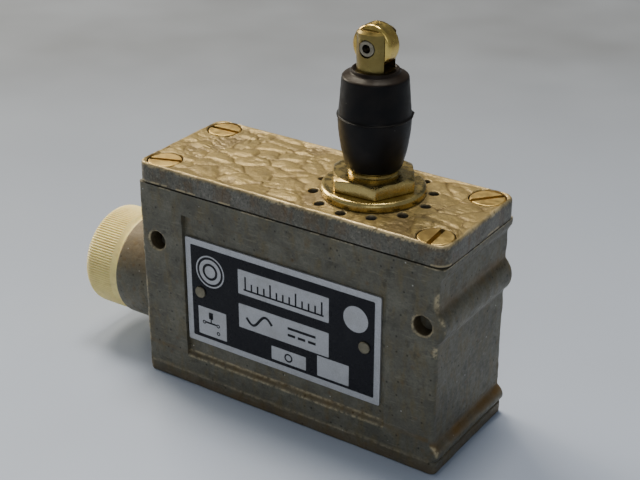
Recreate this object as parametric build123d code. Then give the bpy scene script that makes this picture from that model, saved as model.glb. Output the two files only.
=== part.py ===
"""Roller plunger limit switch: die-cast housing and cover, guide bush with rubber boot, roller
plunger, snap-action contact block, and a cable gland with a knurled pressure screw.

Millimetres. The origin is the centre of the housing's base. +X runs along the housing away from
the cable gland, +Y points to the face that is bolted to the machine, +Z points up to the roller.
"""

import os
from math import cos, pi, radians, sin

from build123d import *

# ---------------------------------------------------------------- driving dimensions
HOUSING_LENGTH = 79.2
HOUSING_WIDTH = 30.8
HOUSING_HEIGHT = 49.3
WALL = 3.0
END_INSET = 1.1  # the plain end wall stands this far inside the rim and the base
CORNER_R = 2.0
GASKET_T = 0.4
COVER_TOP = 54.4
COVER_CORNER_R = 3.2

FIXING_X = 35.0  # mounting holes and cover screws share this distance from the centre
FIXING_Z = 35.5
FIXING_HOLE_R = 2.15
FIXING_BOSS_R = 5.2
SCREW_Y = 11.0
SCREW_R = 2.0
SCREW_HEAD_R = 3.85
SCREW_HEAD_H = 2.6
SCREW_SLOT = (1.1, 1.2)  # width, depth
SCREW_TIP_Z = HOUSING_HEIGHT - 7.6
SCREW_TURNS = {(-1, -1): 20, (-1, 1): 3, (1, -1): 95, (1, 1): 50}  # degrees, by the signs of x and y
COUNTERBORE_R = 4.15
COUNTERBORE_DEPTH = 2.9
COVER_EDGE_R = 0.7
SPIGOT_H = 1.6
SPIGOT_T = 1.6
BASE_SLAB_TOP = 3.4
BASE_BEAD = (37.9, 4.9, 2.1)  # x, z, radius
RIM_FLARE = 3.4

HEAD_X = 13.4  # axis of the plunger
TRAVEL = 5.0  # full stroke of the roller
BUTTON_TRAVEL = 1.5  # stroke of the contact block's button over the same travel
BLADE_TILT = 4.0  # degrees, over the same travel

GLAND_Z = 18.7
GLAND_BOSS_R = 12.65
GLAND_BOSS_END = -51.6
GLAND_THREAD_R = 10.2
CABLE_R = 6.5
THREAD_GAP = 0.1  # radial room between two plain cylinders that stand for a thread
FIT_GAP = 0.03  # radial room of a running or sliding fit

HALF_L = HOUSING_LENGTH / 2
HALF_W = HOUSING_WIDTH / 2
END_WALL_X = HALF_L - END_INSET
COVER_BOTTOM = HOUSING_HEIGHT + GASKET_T

# cavity
CAVITY_X = 30.2
CAVITY_Y = HALF_W - WALL
FLOOR_Z = 3.0
POCKET_Y = 6.5  # half width of the pockets between the screw pillars
POCKET_LEFT = -HALF_L + 2.5
POCKET_RIGHT = END_WALL_X - 2.5
TUBE_R = 4.6
LOWER_TOP = 30.4  # below this height the cavity runs out to the end walls

# name plate
PLATE_RECESS = (-27.4, 26.4, 8.6, 43.9)  # left, right, bottom, top
PLATE_RECESS_DEPTH = 1.0
PLATE = (-27.0, 25.0, 12.3, 38.7)
PLATE_T = 0.5
RIVET_X = (-23.0, 21.1)
RIVET_Z = 25.6
RIVET_HEAD_R = 1.45
RIVET_SHANK_R = 0.8
RIVET_HEAD_H = 0.45

# guide bush and what is on it
FLANGE_R = 11.35
FLANGE_T = 2.0
FLANGE_TOP = COVER_TOP + FLANGE_T
HEX_AF = 17.0
HEX_TOP = 59.3
HEX_TURN = -2.0  # degrees
BUSH_THREAD_R = 6.0
BUSH_BOTTOM = 44.0
NECK_R = 5.3
NECK_TOP = 63.0
NECK_GROOVE = (60.95, 62.05)
NECK_GROOVE_R = 4.7
LOCKNUT_BOTTOM = 46.0
INDEX_RING_R = 12.85
INDEX_HOLES = 12
INDEX_HOLE_R = 1.15
INDEX_HOLE_DEPTH = 2.5

# plunger and roller
STEM_R = 3.0
STEM_BOTTOM = 39.5
STEM_BORE_R = 1.9
STEM_BORE_TOP = 52.0
SEAT_R = 5.0
SEAT = (78.6, 79.8)
FORK_R = 4.0
FORK_TOP = 90.4
FORK_GROOVE = (80.4, 81.4)
FORK_GROOVE_R = 3.4
SLOT_BOTTOM = 82.1
SLOT_Y = 2.25
ROLLER_Z = 87.0
ROLLER_R = 4.55
ROLLER_HALF_W = 2.1
ROLLER_BORE_R = 1.55
PIN_SHANK_R = 1.5
PIN_HEAD_R = 1.75
PIN_POCKET_R = 1.9
PIN_SEAT_Y = 3.2
PIN_END_Y = 3.8
PIN_BORE_R = 0.95
RING_TOP = 43.95
RING_T = 0.7

# boot
BOOT_BOTTOM = 60.5
BOOT_TOP = 82.0
BOOT_RIDGE_Z = 72.0
BOOT_RIDGE_R = 8.05

# contact block
BLOCK_X = (-14.6, 29.4)
BLOCK_Z = (8.5, 33.5)
BLOCK_HALF_Y = 8.5
BLOCK_WALL = 2.0
BLOCK_SCREW_X = (-11.5, 26.5)
BLOCK_SCREW_Z = (11.4, 30.6)
BLOCK_SCREW_R = 1.25
BLOCK_SCREW_L = 20.5
BLOCK_PAD_R = 3.6
PIVOT_R = 0.6
BUTTON_R = 2.0
PIVOT_X = -8.0
BLADE_Z = 22.0
BLADE_T = 0.4
CONTACT_X = 24.5
CONTACT_R = 1.5
BUTTON_TOP = 35.5
STRIP_T = 1.0
STRIP_HALF_Y = 3.0
TERMINAL_OUT = 6.0  # how far a terminal strip stands out of the block
COMMON_Z = BLADE_Z - STRIP_T / 2
NC_Z = 23.4
NO_Z = 17.2
NO_LOW_Z = 11.5

# gland, from the inside outwards
GLAND_SEAT_X = -39.4
GLAND_HOLE_R = 7.0
GLAND_WASHER_T = 0.8
GLAND_SEAL_T = 4.5
GLAND_COLLAR_R = 11.3
GLAND_HEAD_X = -54.3
GLAND_HEAD_END = -61.9
GLAND_HEAD_R = 12.5
KNURL_TEETH = 90
KNURL_DEPTH = 0.35

EARTH_X = -26.0
EARTH_Y = 6.0
EARTH_BOSS_TOP = 6.0
EARTH_BOSS_R = 4.0
EARTH_SCREW_R = 1.5
EARTH_CLAMP_T = 0.8


# ---------------------------------------------------------------- small tools
def block(x0, x1, y0, y1, z0, z1):
    """Box between two corners."""
    return Pos((x0 + x1) / 2, (y0 + y1) / 2, (z0 + z1) / 2) * Box(x1 - x0, y1 - y0, z1 - z0)


def post(r, z0, z1, x=0.0, y=0.0):
    """Cylinder that stands along Z."""
    return Pos(x, y, (z0 + z1) / 2) * Cylinder(r, z1 - z0)


def bar_y(r, y0, y1, x, z):
    """Cylinder that lies along Y."""
    return Pos(x, (y0 + y1) / 2, z) * Rot(90, 0, 0) * Cylinder(r, y1 - y0)


def bar_x(r, x0, x1, y=0.0, z=GLAND_Z):
    """Cylinder that lies along X."""
    return Pos((x0 + x1) / 2, y, z) * Rot(0, 90, 0) * Cylinder(r, x1 - x0)


def slab(length, width, corner, z0, z1):
    """Rectangle with rounded corners, standing on z0."""
    return Pos(0, 0, z0) * extrude(RectangleRounded(length, width, corner), z1 - z0)


def prism_y(points, y0, y1):
    """Outline in the XZ plane, extruded from y0 to y1."""
    outline = Plane.XZ * make_face(Polyline(*points, close=True))
    return Pos(0, y1, 0) * extrude(outline, y1 - y0)


def turned(points, x=HEAD_X):
    """Closed profile of (radius, z) points, turned about the vertical axis through x."""
    profile = Plane.XZ * make_face(Polyline(*points, close=True))
    return Pos(x, 0, 0) * revolve(profile, Axis.Z)


def coil(radius, wire_r, z0, z1, turns):
    """Round-wire helix whose wire just fits between the heights z0 and z1."""
    height = z1 - z0 - 2 * wire_r
    path = Helix(pitch=height / turns, height=height, radius=radius)
    section = Plane(origin=path @ 0, z_dir=path % 0) * Circle(wire_r)
    return Pos(0, 0, z0 + wire_r) * sweep(section, path, is_frenet=True)


def slotted_head(r, height, slot_w, slot_depth, z_bottom):
    """Cheese head with a rounded upper rim and a driver slot along X."""
    head = post(r, z_bottom, z_bottom + height)
    head = fillet(head.edges().group_by(Axis.Z)[-1], min(0.35, height / 4))
    top = z_bottom + height
    return head - block(-r - 1, r + 1, -slot_w / 2, slot_w / 2, top - slot_depth, top + 1)


def hexagon(across_flats, z0, z1, x=HEAD_X, turn=0.0):
    """Hexagonal prism on the plunger axis, one corner on +X before it is turned."""
    outline = RegularPolygon(across_flats / 2, 6, major_radius=False, rotation=turn)
    return Pos(x, 0, z0) * extrude(outline, z1 - z0)


def corners():
    """The four cover screw places."""
    return [(x, y) for x in (-FIXING_X, FIXING_X) for y in (-SCREW_Y, SCREW_Y)]


def save(name, shape):
    """Write one sub-part, as one solid or as a group of separate solids."""
    solids = shape.solids() if not isinstance(shape, list) else [s for p in shape for s in p.solids()]
    whole = solids[0] if len(solids) == 1 else Compound(children=list(solids))
    export_step(whole, f"parts/{name}.step")


# ---------------------------------------------------------------- casting, cover, gasket
def housing_outside():
    """Outer shape: walls with a flared rim, a base slab, an end bead, and the two kinds of boss."""
    body = slab(HOUSING_LENGTH - END_INSET, HOUSING_WIDTH, CORNER_R, 0, HOUSING_HEIGHT)
    body = Pos(-END_INSET / 2, 0, 0) * body
    rim = slab(HOUSING_LENGTH, HOUSING_WIDTH, CORNER_R, HOUSING_HEIGHT - RIM_FLARE, HOUSING_HEIGHT)
    rim_under = rim.edges().group_by(Axis.Z)[0]
    rim = chamfer(rim_under, END_INSET)
    base = slab(HOUSING_LENGTH - 0.5, HOUSING_WIDTH, CORNER_R, 0, BASE_SLAB_TOP)
    bead_x, bead_z, bead_r = BASE_BEAD
    bead = bar_y(bead_r, -HALF_W + 0.6, HALF_W, bead_x, bead_z)
    boss = bar_y(FIXING_BOSS_R, -HALF_W, HALF_W, FIXING_X, FIXING_Z)
    gland_boss = bar_x(GLAND_BOSS_R, GLAND_BOSS_END, -HALF_L + WALL)
    gland_boss = fillet(gland_boss.edges().group_by(Axis.X)[0], 0.7)
    return body + rim + base + bead + boss + gland_boss


def housing_cavity():
    """Room inside: a main well, a wider lower part, and pockets beside the screw pillars."""
    main = block(-CAVITY_X, CAVITY_X, -CAVITY_Y, CAVITY_Y, FLOOR_Z, HOUSING_HEIGHT + 1)
    main = fillet(main.edges().filter_by(Axis.Z), 1.5)
    lower = block(POCKET_LEFT, POCKET_RIGHT, -CAVITY_Y, CAVITY_Y, FLOOR_Z, LOWER_TOP)
    pockets = block(POCKET_LEFT, POCKET_RIGHT, -POCKET_Y, POCKET_Y, FLOOR_Z, HOUSING_HEIGHT + 1)
    tubes = [bar_y(TUBE_R, -HALF_W, HALF_W, x, FIXING_Z) for x in (-FIXING_X, FIXING_X)]
    return main + (lower + pockets - tubes)


def housing():
    body = housing_outside() - housing_cavity()
    left, right, bottom, top = PLATE_RECESS
    recess = block(left, right, -HALF_W - 1, -HALF_W + PLATE_RECESS_DEPTH, bottom, top)
    recess = fillet(recess.edges().filter_by(Axis.Y), 0.8)
    body -= recess
    # pads on the back wall that carry the contact block, with their thread holes
    for x, z in zip(BLOCK_SCREW_X, BLOCK_SCREW_Z):
        body += bar_y(BLOCK_PAD_R, BLOCK_HALF_Y, HALF_W - 1, x, z)
        body -= bar_y(BLOCK_SCREW_R + THREAD_GAP, BLOCK_HALF_Y - 1, HALF_W - 1.5, x, z)
    body += post(EARTH_BOSS_R, FLOOR_Z - 1, EARTH_BOSS_TOP, EARTH_X, EARTH_Y)
    body -= post(EARTH_SCREW_R + THREAD_GAP, 1.2, EARTH_BOSS_TOP + 1, EARTH_X, EARTH_Y)
    for x in (-FIXING_X, FIXING_X):
        hole = bar_y(FIXING_HOLE_R, -HALF_W - 1, HALF_W + 1, x, FIXING_Z)
        mouth = Rot(90, 0, 0) * Cone(FIXING_HOLE_R, FIXING_HOLE_R + 0.5, 0.5)
        body -= hole + Pos(x, -HALF_W + 0.25, FIXING_Z) * mouth
    for x, y in corners():
        body -= post(SCREW_R + THREAD_GAP, HOUSING_HEIGHT - 8.2, HOUSING_HEIGHT + 1, x, y)
    for x in RIVET_X:
        body -= bar_y(RIVET_SHANK_R, -HALF_W, -CAVITY_Y - 0.3, x, RIVET_Z)
    body -= bar_x(GLAND_THREAD_R, GLAND_BOSS_END - 1, GLAND_SEAT_X)
    body -= bar_x(GLAND_HOLE_R, GLAND_SEAT_X - 1, POCKET_LEFT + 1)
    return body


def cover():
    plate = slab(HOUSING_LENGTH + 0.2, HOUSING_WIDTH, COVER_CORNER_R, COVER_BOTTOM, COVER_TOP)
    plate = fillet(plate.edges().group_by(Axis.Z)[-1], COVER_EDGE_R)
    out_x, out_y = CAVITY_X - 0.6, CAVITY_Y - 0.4
    in_x, in_y = out_x - SPIGOT_T, out_y - SPIGOT_T
    spigot = slab(2 * out_x, 2 * out_y, 1.4, COVER_BOTTOM - SPIGOT_H, COVER_BOTTOM)
    plate += spigot - block(-in_x, in_x, -in_y, in_y, 0, COVER_BOTTOM)
    for x, y in corners():
        plate -= post(SCREW_R + 0.25, COVER_BOTTOM - 3, COVER_TOP + 1, x, y)
        plate -= post(COUNTERBORE_R, COVER_TOP - COUNTERBORE_DEPTH, COVER_TOP + 1, x, y)
    plate -= post(BUSH_THREAD_R + THREAD_GAP, COVER_BOTTOM - 3, COVER_TOP + 1, HEAD_X)
    for n in range(INDEX_HOLES):
        a = 2 * pi * n / INDEX_HOLES
        x, y = HEAD_X + INDEX_RING_R * cos(a), INDEX_RING_R * sin(a)
        plate -= post(INDEX_HOLE_R, COVER_TOP - INDEX_HOLE_DEPTH, COVER_TOP + 1, x, y)
    return plate


def cover_gasket():
    ring = slab(HOUSING_LENGTH - 1.2, HOUSING_WIDTH - 1.2, 1.6, HOUSING_HEIGHT, COVER_BOTTOM)
    ring -= slab(2 * CAVITY_X, 2 * CAVITY_Y, 1.5, HOUSING_HEIGHT - 1, COVER_BOTTOM + 1)
    for x, y in corners():
        ring -= post(SCREW_R + 0.3, HOUSING_HEIGHT - 1, COVER_BOTTOM + 1, x, y)
    return ring


def cover_screws():
    head_bottom = COVER_TOP - COUNTERBORE_DEPTH
    made = []
    for x, y in corners():
        screw = slotted_head(SCREW_HEAD_R, SCREW_HEAD_H, *SCREW_SLOT, head_bottom)
        screw += post(SCREW_R, SCREW_TIP_Z, head_bottom)
        turn = SCREW_TURNS[(1 if x > 0 else -1, 1 if y > 0 else -1)]
        made.append(Pos(x, y, 0) * Rot(0, 0, turn) * screw)
    return made


# ---------------------------------------------------------------- name plate
def nameplate():
    left, right, bottom, top = PLATE
    back = -HALF_W + PLATE_RECESS_DEPTH
    plate = block(left, right, back - PLATE_T, back, bottom, top)
    plate = fillet(plate.edges().filter_by(Axis.Y), 0.4)
    for x in RIVET_X:
        plate -= bar_y(RIVET_SHANK_R, back - 1, back + 1, x, RIVET_Z)
    return plate


def nameplate_rivets():
    face = -HALF_W + PLATE_RECESS_DEPTH - PLATE_T
    made = []
    for x in RIVET_X:
        dome = bar_y(RIVET_HEAD_R, face - RIVET_HEAD_H, face, x, RIVET_Z)
        dome = fillet(dome.edges().group_by(Axis.Y)[0], 0.3)
        made.append(dome + bar_y(RIVET_SHANK_R - FIT_GAP, face, -CAVITY_Y - 0.4, x, RIVET_Z))
    return made


# ---------------------------------------------------------------- guide bush
def flange_washer():
    ring = post(FLANGE_R, COVER_TOP, FLANGE_TOP, HEAD_X)
    ring = fillet(ring.edges().group_by(Axis.Z)[-1], 0.8)
    ring -= post(BUSH_THREAD_R + THREAD_GAP, COVER_TOP - 1, FLANGE_TOP + 1, HEAD_X)
    groove = post(9.0, COVER_TOP - 1, COVER_TOP + 1.2, HEAD_X)
    groove -= post(7.4, COVER_TOP - 2, COVER_TOP + 2, HEAD_X)
    return ring - groove


def bush_seal():
    return Pos(HEAD_X, 0, COVER_TOP + 0.6) * Torus(8.2, 0.58)


def hex_blank(z0, z1, turn, upper_only):
    """Hexagon whose corners are turned off by a 30 degree cone."""
    half = HEX_AF / 2
    reach = HEX_AF
    drop = (reach - half * 0.95) * 0.577
    blank = hexagon(HEX_AF, z0, z1, turn=turn)
    top_cone = turned([(0, z0 - 1), (reach, z0 - 1), (reach, z1 - drop), (half * 0.95, z1), (0, z1)])
    blank &= top_cone
    if not upper_only:
        blank &= turned([(0, z0), (half * 0.95, z0), (reach, z0 + drop), (reach, z1 + 1), (0, z1 + 1)])
    return blank


def guide_bush():
    bush = hex_blank(FLANGE_TOP, HEX_TOP, HEX_TURN, upper_only=True)
    bush += turned(
        [
            (0, BUSH_BOTTOM),
            (BUSH_THREAD_R - 0.6, BUSH_BOTTOM),
            (BUSH_THREAD_R, BUSH_BOTTOM + 0.6),
            (BUSH_THREAD_R, FLANGE_TOP + 0.5),
            (NECK_R, FLANGE_TOP + 0.5),
            (NECK_R, NECK_GROOVE[0]),
            (NECK_GROOVE_R, NECK_GROOVE[0]),
            (NECK_GROOVE_R, NECK_GROOVE[1]),
            (NECK_R, NECK_GROOVE[1]),
            (NECK_R, NECK_TOP - 0.3),
            (NECK_R - 0.3, NECK_TOP),
            (0, NECK_TOP),
        ]
    )
    return bush - post(STEM_R + FIT_GAP, BUSH_BOTTOM - 1, NECK_TOP + 1, HEAD_X)


def bush_locknut():
    nut = hex_blank(LOCKNUT_BOTTOM, COVER_BOTTOM, 12.0, upper_only=False)
    return nut - post(BUSH_THREAD_R + THREAD_GAP, LOCKNUT_BOTTOM - 1, COVER_BOTTOM + 1, HEAD_X)


def boot():
    """Barrel-shaped rubber sleeve: a bead in the bush's groove below, one in the fork's above."""
    ridge = 0.3
    hug = FORK_R + 0.05
    lip = FORK_GROOVE_R + 0.05
    fork_low, fork_high = FORK_GROOVE[0] + 0.05, FORK_GROOVE[1] - 0.05
    neck_low, neck_high = NECK_GROOVE[0] + 0.05, NECK_GROOVE[1] - 0.05
    outside = Spline(
        (6.1, BOOT_BOTTOM + 0.6), (6.8, 64.0), (7.55, 69.0), (7.7, BOOT_RIDGE_Z - ridge)
    )
    upper = Spline((7.7, BOOT_RIDGE_Z + ridge), (7.52, 75.5), (7.1, 79.4), (6.9, 80.3))
    outline = [
        Polyline((6.9, 80.3), (6.5, 80.8), (5.4, 81.5), (5.2, BOOT_TOP), (4.6, BOOT_TOP)),
        Polyline((4.6, BOOT_TOP), (4.4, 81.7), (hug, 81.7), (hug, fork_high)),
        Polyline((hug, fork_high), (lip, fork_high), (lip, fork_low)),
        Polyline((lip, fork_low), (hug, fork_low), (hug, 79.9), (5.15, 79.9)),
        Spline((5.15, 79.9), (5.7, 78.2), (6.2, 75.0), (6.4, 71.5), (6.1, 67.5), (5.4, 63.4)),
        Polyline((5.4, 63.4), (5.35, neck_high), (4.75, neck_high)),
        Polyline((4.75, neck_high), (4.75, neck_low), (5.35, neck_low)),
        Polyline((5.35, neck_low), (5.35, BOOT_BOTTOM), (5.9, BOOT_BOTTOM), (6.1, BOOT_BOTTOM + 0.6)),
    ]
    seam = Polyline(
        (7.7, BOOT_RIDGE_Z - ridge), (BOOT_RIDGE_R, BOOT_RIDGE_Z - 0.1),
        (BOOT_RIDGE_R, BOOT_RIDGE_Z + 0.1), (7.7, BOOT_RIDGE_Z + ridge),
    )
    profile = make_face([outside, seam, upper, *outline])
    return Pos(HEAD_X, 0, 0) * revolve(Plane.XZ * profile, Axis.Z)


# ---------------------------------------------------------------- plunger and roller
def plunger():
    body = turned(
        [
            (0, STEM_BOTTOM),
            (STEM_R - 0.4, STEM_BOTTOM),
            (STEM_R, STEM_BOTTOM + 0.4),
            (STEM_R, RING_TOP - RING_T - 0.05),
            (STEM_R - 0.5, RING_TOP - RING_T - 0.05),
            (STEM_R - 0.5, RING_TOP + 0.05),
            (STEM_R, RING_TOP + 0.05),
            (STEM_R, SEAT[0]),
            (SEAT_R, SEAT[0]),
            (SEAT_R, SEAT[1]),
            (FORK_R, SEAT[1]),
            (FORK_R, FORK_GROOVE[0]),
            (FORK_GROOVE_R, FORK_GROOVE[0]),
            (FORK_GROOVE_R, FORK_GROOVE[1]),
            (FORK_R, FORK_GROOVE[1]),
            (FORK_R, FORK_TOP - 0.5),
            (FORK_R - 0.5, FORK_TOP),
            (0, FORK_TOP),
        ]
    )
    body -= post(STEM_BORE_R, STEM_BOTTOM - 1, STEM_BORE_TOP, HEAD_X)
    body -= block(HEAD_X - 6, HEAD_X + 6, -SLOT_Y, SLOT_Y, SLOT_BOTTOM, FORK_TOP + 1)
    for side in (-1, 1):
        low, high = sorted((side * PIN_SEAT_Y, side * 6))
        body -= bar_y(PIN_POCKET_R, low, high, HEAD_X, ROLLER_Z)
    return body - bar_y(PIN_SHANK_R, -5, 5, HEAD_X, ROLLER_Z)


def roller():
    wheel = bar_y(ROLLER_R, -ROLLER_HALF_W, ROLLER_HALF_W, HEAD_X, ROLLER_Z)
    wheel = fillet(wheel.edges(), 1.0)
    for side in (-1, 1):
        low, high = sorted((side * (ROLLER_HALF_W - 0.25), side * (ROLLER_HALF_W + 1)))
        wheel -= bar_y(3.1, low, high, HEAD_X, ROLLER_Z) - bar_y(2.2, low, high, HEAD_X, ROLLER_Z)
    return wheel - bar_y(ROLLER_BORE_R, -5, 5, HEAD_X, ROLLER_Z)


def roller_pin():
    """Tubular rivet, its two ends rolled over into the fork's pockets."""
    pin = bar_y(PIN_SHANK_R, -PIN_SEAT_Y, PIN_SEAT_Y, HEAD_X, ROLLER_Z)
    for side in (-1, 1):
        low, high = sorted((side * PIN_SEAT_Y, side * PIN_END_Y))
        head = bar_y(PIN_HEAD_R, low, high, HEAD_X, ROLLER_Z)
        rims = head.edges().group_by(Axis.Y)
        pin += fillet(rims[-1] if side > 0 else rims[0], 0.3)
    return pin - bar_y(PIN_BORE_R, -5, 5, HEAD_X, ROLLER_Z)


def retaining_ring():
    ring = post(4.6, RING_TOP - RING_T, RING_TOP, HEAD_X)
    ring -= post(STEM_R - 0.48, RING_TOP - 2, RING_TOP + 1, HEAD_X)
    return ring - block(HEAD_X + 1, HEAD_X + 6, -2.1, 2.1, RING_TOP - 2, RING_TOP + 1)


def return_spring():
    return Pos(HEAD_X, 0, 0) * coil(4.1, 0.42, NECK_TOP + 0.02, SEAT[0] - 0.02, 6.5)


def overtravel_spring():
    return Pos(HEAD_X, 0, 0) * coil(1.4, 0.22, 44.02, STEM_BORE_TOP - 0.02, 8)


def drive_pin():
    pin = post(STEM_BORE_R - FIT_GAP, BUTTON_TOP + 0.02, 44.0, HEAD_X)
    return fillet(pin.edges().group_by(Axis.Z)[0], 0.6)


# ---------------------------------------------------------------- contact block
def block_base():
    x0, x1 = BLOCK_X
    z0, z1 = BLOCK_Z
    t = BLOCK_WALL
    base = block(x0, x1, -BLOCK_HALF_Y + t, BLOCK_HALF_Y, z0, z1)
    base = fillet(base.edges().filter_by(Axis.Y), 1.0)
    base -= block(x0 + t, x1 - t, -BLOCK_HALF_Y, BLOCK_HALF_Y - t, z0 + t, z1 - t)
    for x, z in zip(BLOCK_SCREW_X, BLOCK_SCREW_Z):
        base += bar_y(2.6, -BLOCK_HALF_Y + t, BLOCK_HALF_Y - 1, x, z)
        base -= bar_y(BLOCK_SCREW_R + THREAD_GAP, -10, 10, x, z)
    base += bar_y(0.8, -2.0, BLOCK_HALF_Y - t, -2.6, 12.6)
    base -= bar_y(PIVOT_R + 0.02, -10, BLOCK_HALF_Y - 1, PIVOT_X, BLADE_Z)
    base -= post(BUTTON_R + FIT_GAP, z1 - t - 1, z1 + 1, HEAD_X)
    # windows in the end walls that the terminal strips pass through
    gap = 0.02
    half_y = STRIP_HALF_Y + gap
    left, right = (x0 - 1, x0 + t + 1), (x1 - t - 1, x1 + 1)
    for (x_low, x_high), z in ((left, COMMON_Z), (right, NC_Z), (right, NO_LOW_Z)):
        base -= block(x_low, x_high, -half_y, half_y, z - gap, z + STRIP_T + gap)
    return base


def block_cover():
    x0, x1 = BLOCK_X
    z0, z1 = BLOCK_Z
    lid = block(x0, x1, -BLOCK_HALF_Y, -BLOCK_HALF_Y + BLOCK_WALL, z0, z1)
    lid = fillet(lid.edges().filter_by(Axis.Y), 1.0)
    for x, z in zip(BLOCK_SCREW_X, BLOCK_SCREW_Z):
        lid -= bar_y(BLOCK_SCREW_R + THREAD_GAP, -10, 0, x, z)
    return lid - bar_y(PIVOT_R + 0.02, -BLOCK_HALF_Y + 1, 0, PIVOT_X, BLADE_Z)


def block_screws():
    made = []
    for x, z in zip(BLOCK_SCREW_X, BLOCK_SCREW_Z):
        screw = slotted_head(2.5, 1.8, 0.8, 0.9, 0)
        screw += post(BLOCK_SCREW_R, -BLOCK_SCREW_L, 0)
        made.append(Pos(x, -BLOCK_HALF_Y, z) * Rot(90, 0, 0) * Rot(0, 0, 30) * screw)
    return made


def switch_button():
    top_wall = BLOCK_Z[1] - BLOCK_WALL
    body = post(BUTTON_R, 26.0, BUTTON_TOP, HEAD_X)
    body = fillet(body.edges().group_by(Axis.Z)[-1], 0.5)
    body += post(3.0, top_wall - 1.2, top_wall - 0.02, HEAD_X)
    foot_bottom = BLADE_Z + BLADE_T / 2 + 0.07
    foot = post(1.3, foot_bottom + 1.3, 26.5, HEAD_X)
    foot += Pos(HEAD_X, 0, foot_bottom + 1.3) * Sphere(1.3)
    return body + foot


def pivot_pin():
    return bar_y(PIVOT_R, -BLOCK_HALF_Y + 1.05, BLOCK_HALF_Y - 1.05, PIVOT_X, BLADE_Z)


def contact_blade():
    half = BLADE_T / 2
    blade = block(PIVOT_X + 0.9, 26.4, -2.4, 2.4, BLADE_Z - half, BLADE_Z + half)
    blade = fillet(blade.edges().filter_by(Axis.Z), 0.35)
    blade += bar_y(1.15, -2.4, 2.4, PIVOT_X, BLADE_Z)
    blade -= bar_y(0.65, -4, 4, PIVOT_X, BLADE_Z)
    blade -= block(0, 8.5, -1.0, 1.0, BLADE_Z - 1, BLADE_Z + 1)
    return blade - post(0.62, BLADE_Z - 2, BLADE_Z + 2, CONTACT_X)


def moving_contact():
    half = BLADE_T / 2
    rivet = post(0.6, BLADE_Z - half - 0.3, BLADE_Z + half + 0.3, CONTACT_X)
    rivet += post(CONTACT_R, BLADE_Z + half, BLADE_Z + half + 0.6, CONTACT_X)
    return rivet + post(CONTACT_R, BLADE_Z - half - 0.6, BLADE_Z - half, CONTACT_X)


def fixed_contacts():
    upper = post(CONTACT_R, BLADE_Z + 0.85, NC_Z, CONTACT_X)
    lower = post(CONTACT_R, NO_Z + STRIP_T, 18.7, CONTACT_X)
    return [upper, lower]


def common_terminal():
    x_out = BLOCK_X[0] - TERMINAL_OUT
    strip = block(x_out, PIVOT_X - 2.6, -STRIP_HALF_Y, STRIP_HALF_Y, COMMON_Z, COMMON_Z + STRIP_T)
    for y0, y1 in ((-3.6, -2.6), (2.6, 3.6)):
        strip += block(PIVOT_X - 4.4, PIVOT_X + 1.6, y0, y1, BLADE_Z - 1.6, BLADE_Z + 1.6)
    strip += block(PIVOT_X - 4.4, PIVOT_X - 2.6, -3.6, 3.6, COMMON_Z, COMMON_Z + STRIP_T)
    strip -= bar_y(0.62, -5, 5, PIVOT_X, BLADE_Z)
    return strip - post(1.25 + THREAD_GAP, 0, 40, x_out + 3)


def nc_terminal():
    x_out = BLOCK_X[1] + TERMINAL_OUT
    strip = block(CONTACT_X - 2.2, x_out, -STRIP_HALF_Y, STRIP_HALF_Y, NC_Z, NC_Z + STRIP_T)
    return strip - post(1.25 + THREAD_GAP, 0, 40, x_out - 3)


def no_terminal():
    """Strip with a step down, so that its screw is clear of the upper terminal."""
    x_out = BLOCK_X[1] + TERMINAL_OUT
    x_in, x_bend, t = CONTACT_X - 2.2, 26.2, STRIP_T
    outline = [
        (x_in, NO_Z), (x_bend - t, NO_Z), (x_bend - t, NO_LOW_Z), (x_out, NO_LOW_Z),
        (x_out, NO_LOW_Z + t), (x_bend, NO_LOW_Z + t), (x_bend, NO_Z + t), (x_in, NO_Z + t),
    ]
    strip = prism_y(outline, -STRIP_HALF_Y, STRIP_HALF_Y)
    return strip - post(1.25 + THREAD_GAP, 0, 15, x_out - 3)


def terminal_places():
    """x and the strip's upper face, for each of the three terminals."""
    left = BLOCK_X[0] - TERMINAL_OUT + 3
    right = BLOCK_X[1] + TERMINAL_OUT - 3
    return [(left, COMMON_Z + STRIP_T), (right, NC_Z + STRIP_T), (right, NO_LOW_Z + STRIP_T)]


def terminal_clamps():
    made = []
    for x, z in terminal_places():
        clamp = block(x - 2.6, x + 2.6, -2.6, 2.6, z + 0.02, z + 0.82)
        made.append(clamp - post(1.45, z - 1, z + 2, x))
    return made


def terminal_screws():
    made = []
    for x, z in terminal_places():
        screw = slotted_head(2.4, 1.7, 0.7, 0.8, 0.84) + post(1.25, -2.2, 0.84)
        made.append(Pos(x, 0, z) * Rot(0, 0, 40) * screw)
    return made


def snap_spring():
    spring = coil(1.1, 0.2, 0, 9.5, 12)
    return Pos(-1.3, 0, 13.6) * Rot(0, 52, 0) * spring


def insulating_liner():
    return block(-29.5, 34.5, -CAVITY_Y + 0.1, -CAVITY_Y + 0.6, FLOOR_Z + 0.3, LOWER_TOP - 0.6)


def earth_clamp():
    top = EARTH_BOSS_TOP + EARTH_CLAMP_T
    clamp = block(EARTH_X - 3.4, EARTH_X + 3.4, EARTH_Y - 3.2, EARTH_Y + 3.2, EARTH_BOSS_TOP, top)
    return clamp - post(EARTH_SCREW_R + 0.3, 0, 20, EARTH_X, EARTH_Y)


def earth_screw():
    seat = EARTH_BOSS_TOP + EARTH_CLAMP_T
    screw = slotted_head(2.9, 2.0, 0.9, 1.0, seat) + post(EARTH_SCREW_R, 1.6, seat)
    return Pos(EARTH_X, EARTH_Y, 0) * Rot(0, 0, 65) * screw


# ---------------------------------------------------------------- cable gland
def gland_ring(r_out, r_in, x0, x1):
    return bar_x(r_out, x0, x1) - bar_x(r_in, x0 - 1, x1 + 1)


def gland_inner_washer():
    return gland_ring(GLAND_THREAD_R - 0.3, CABLE_R + 0.1, GLAND_SEAT_X - GLAND_WASHER_T, GLAND_SEAT_X)


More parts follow.
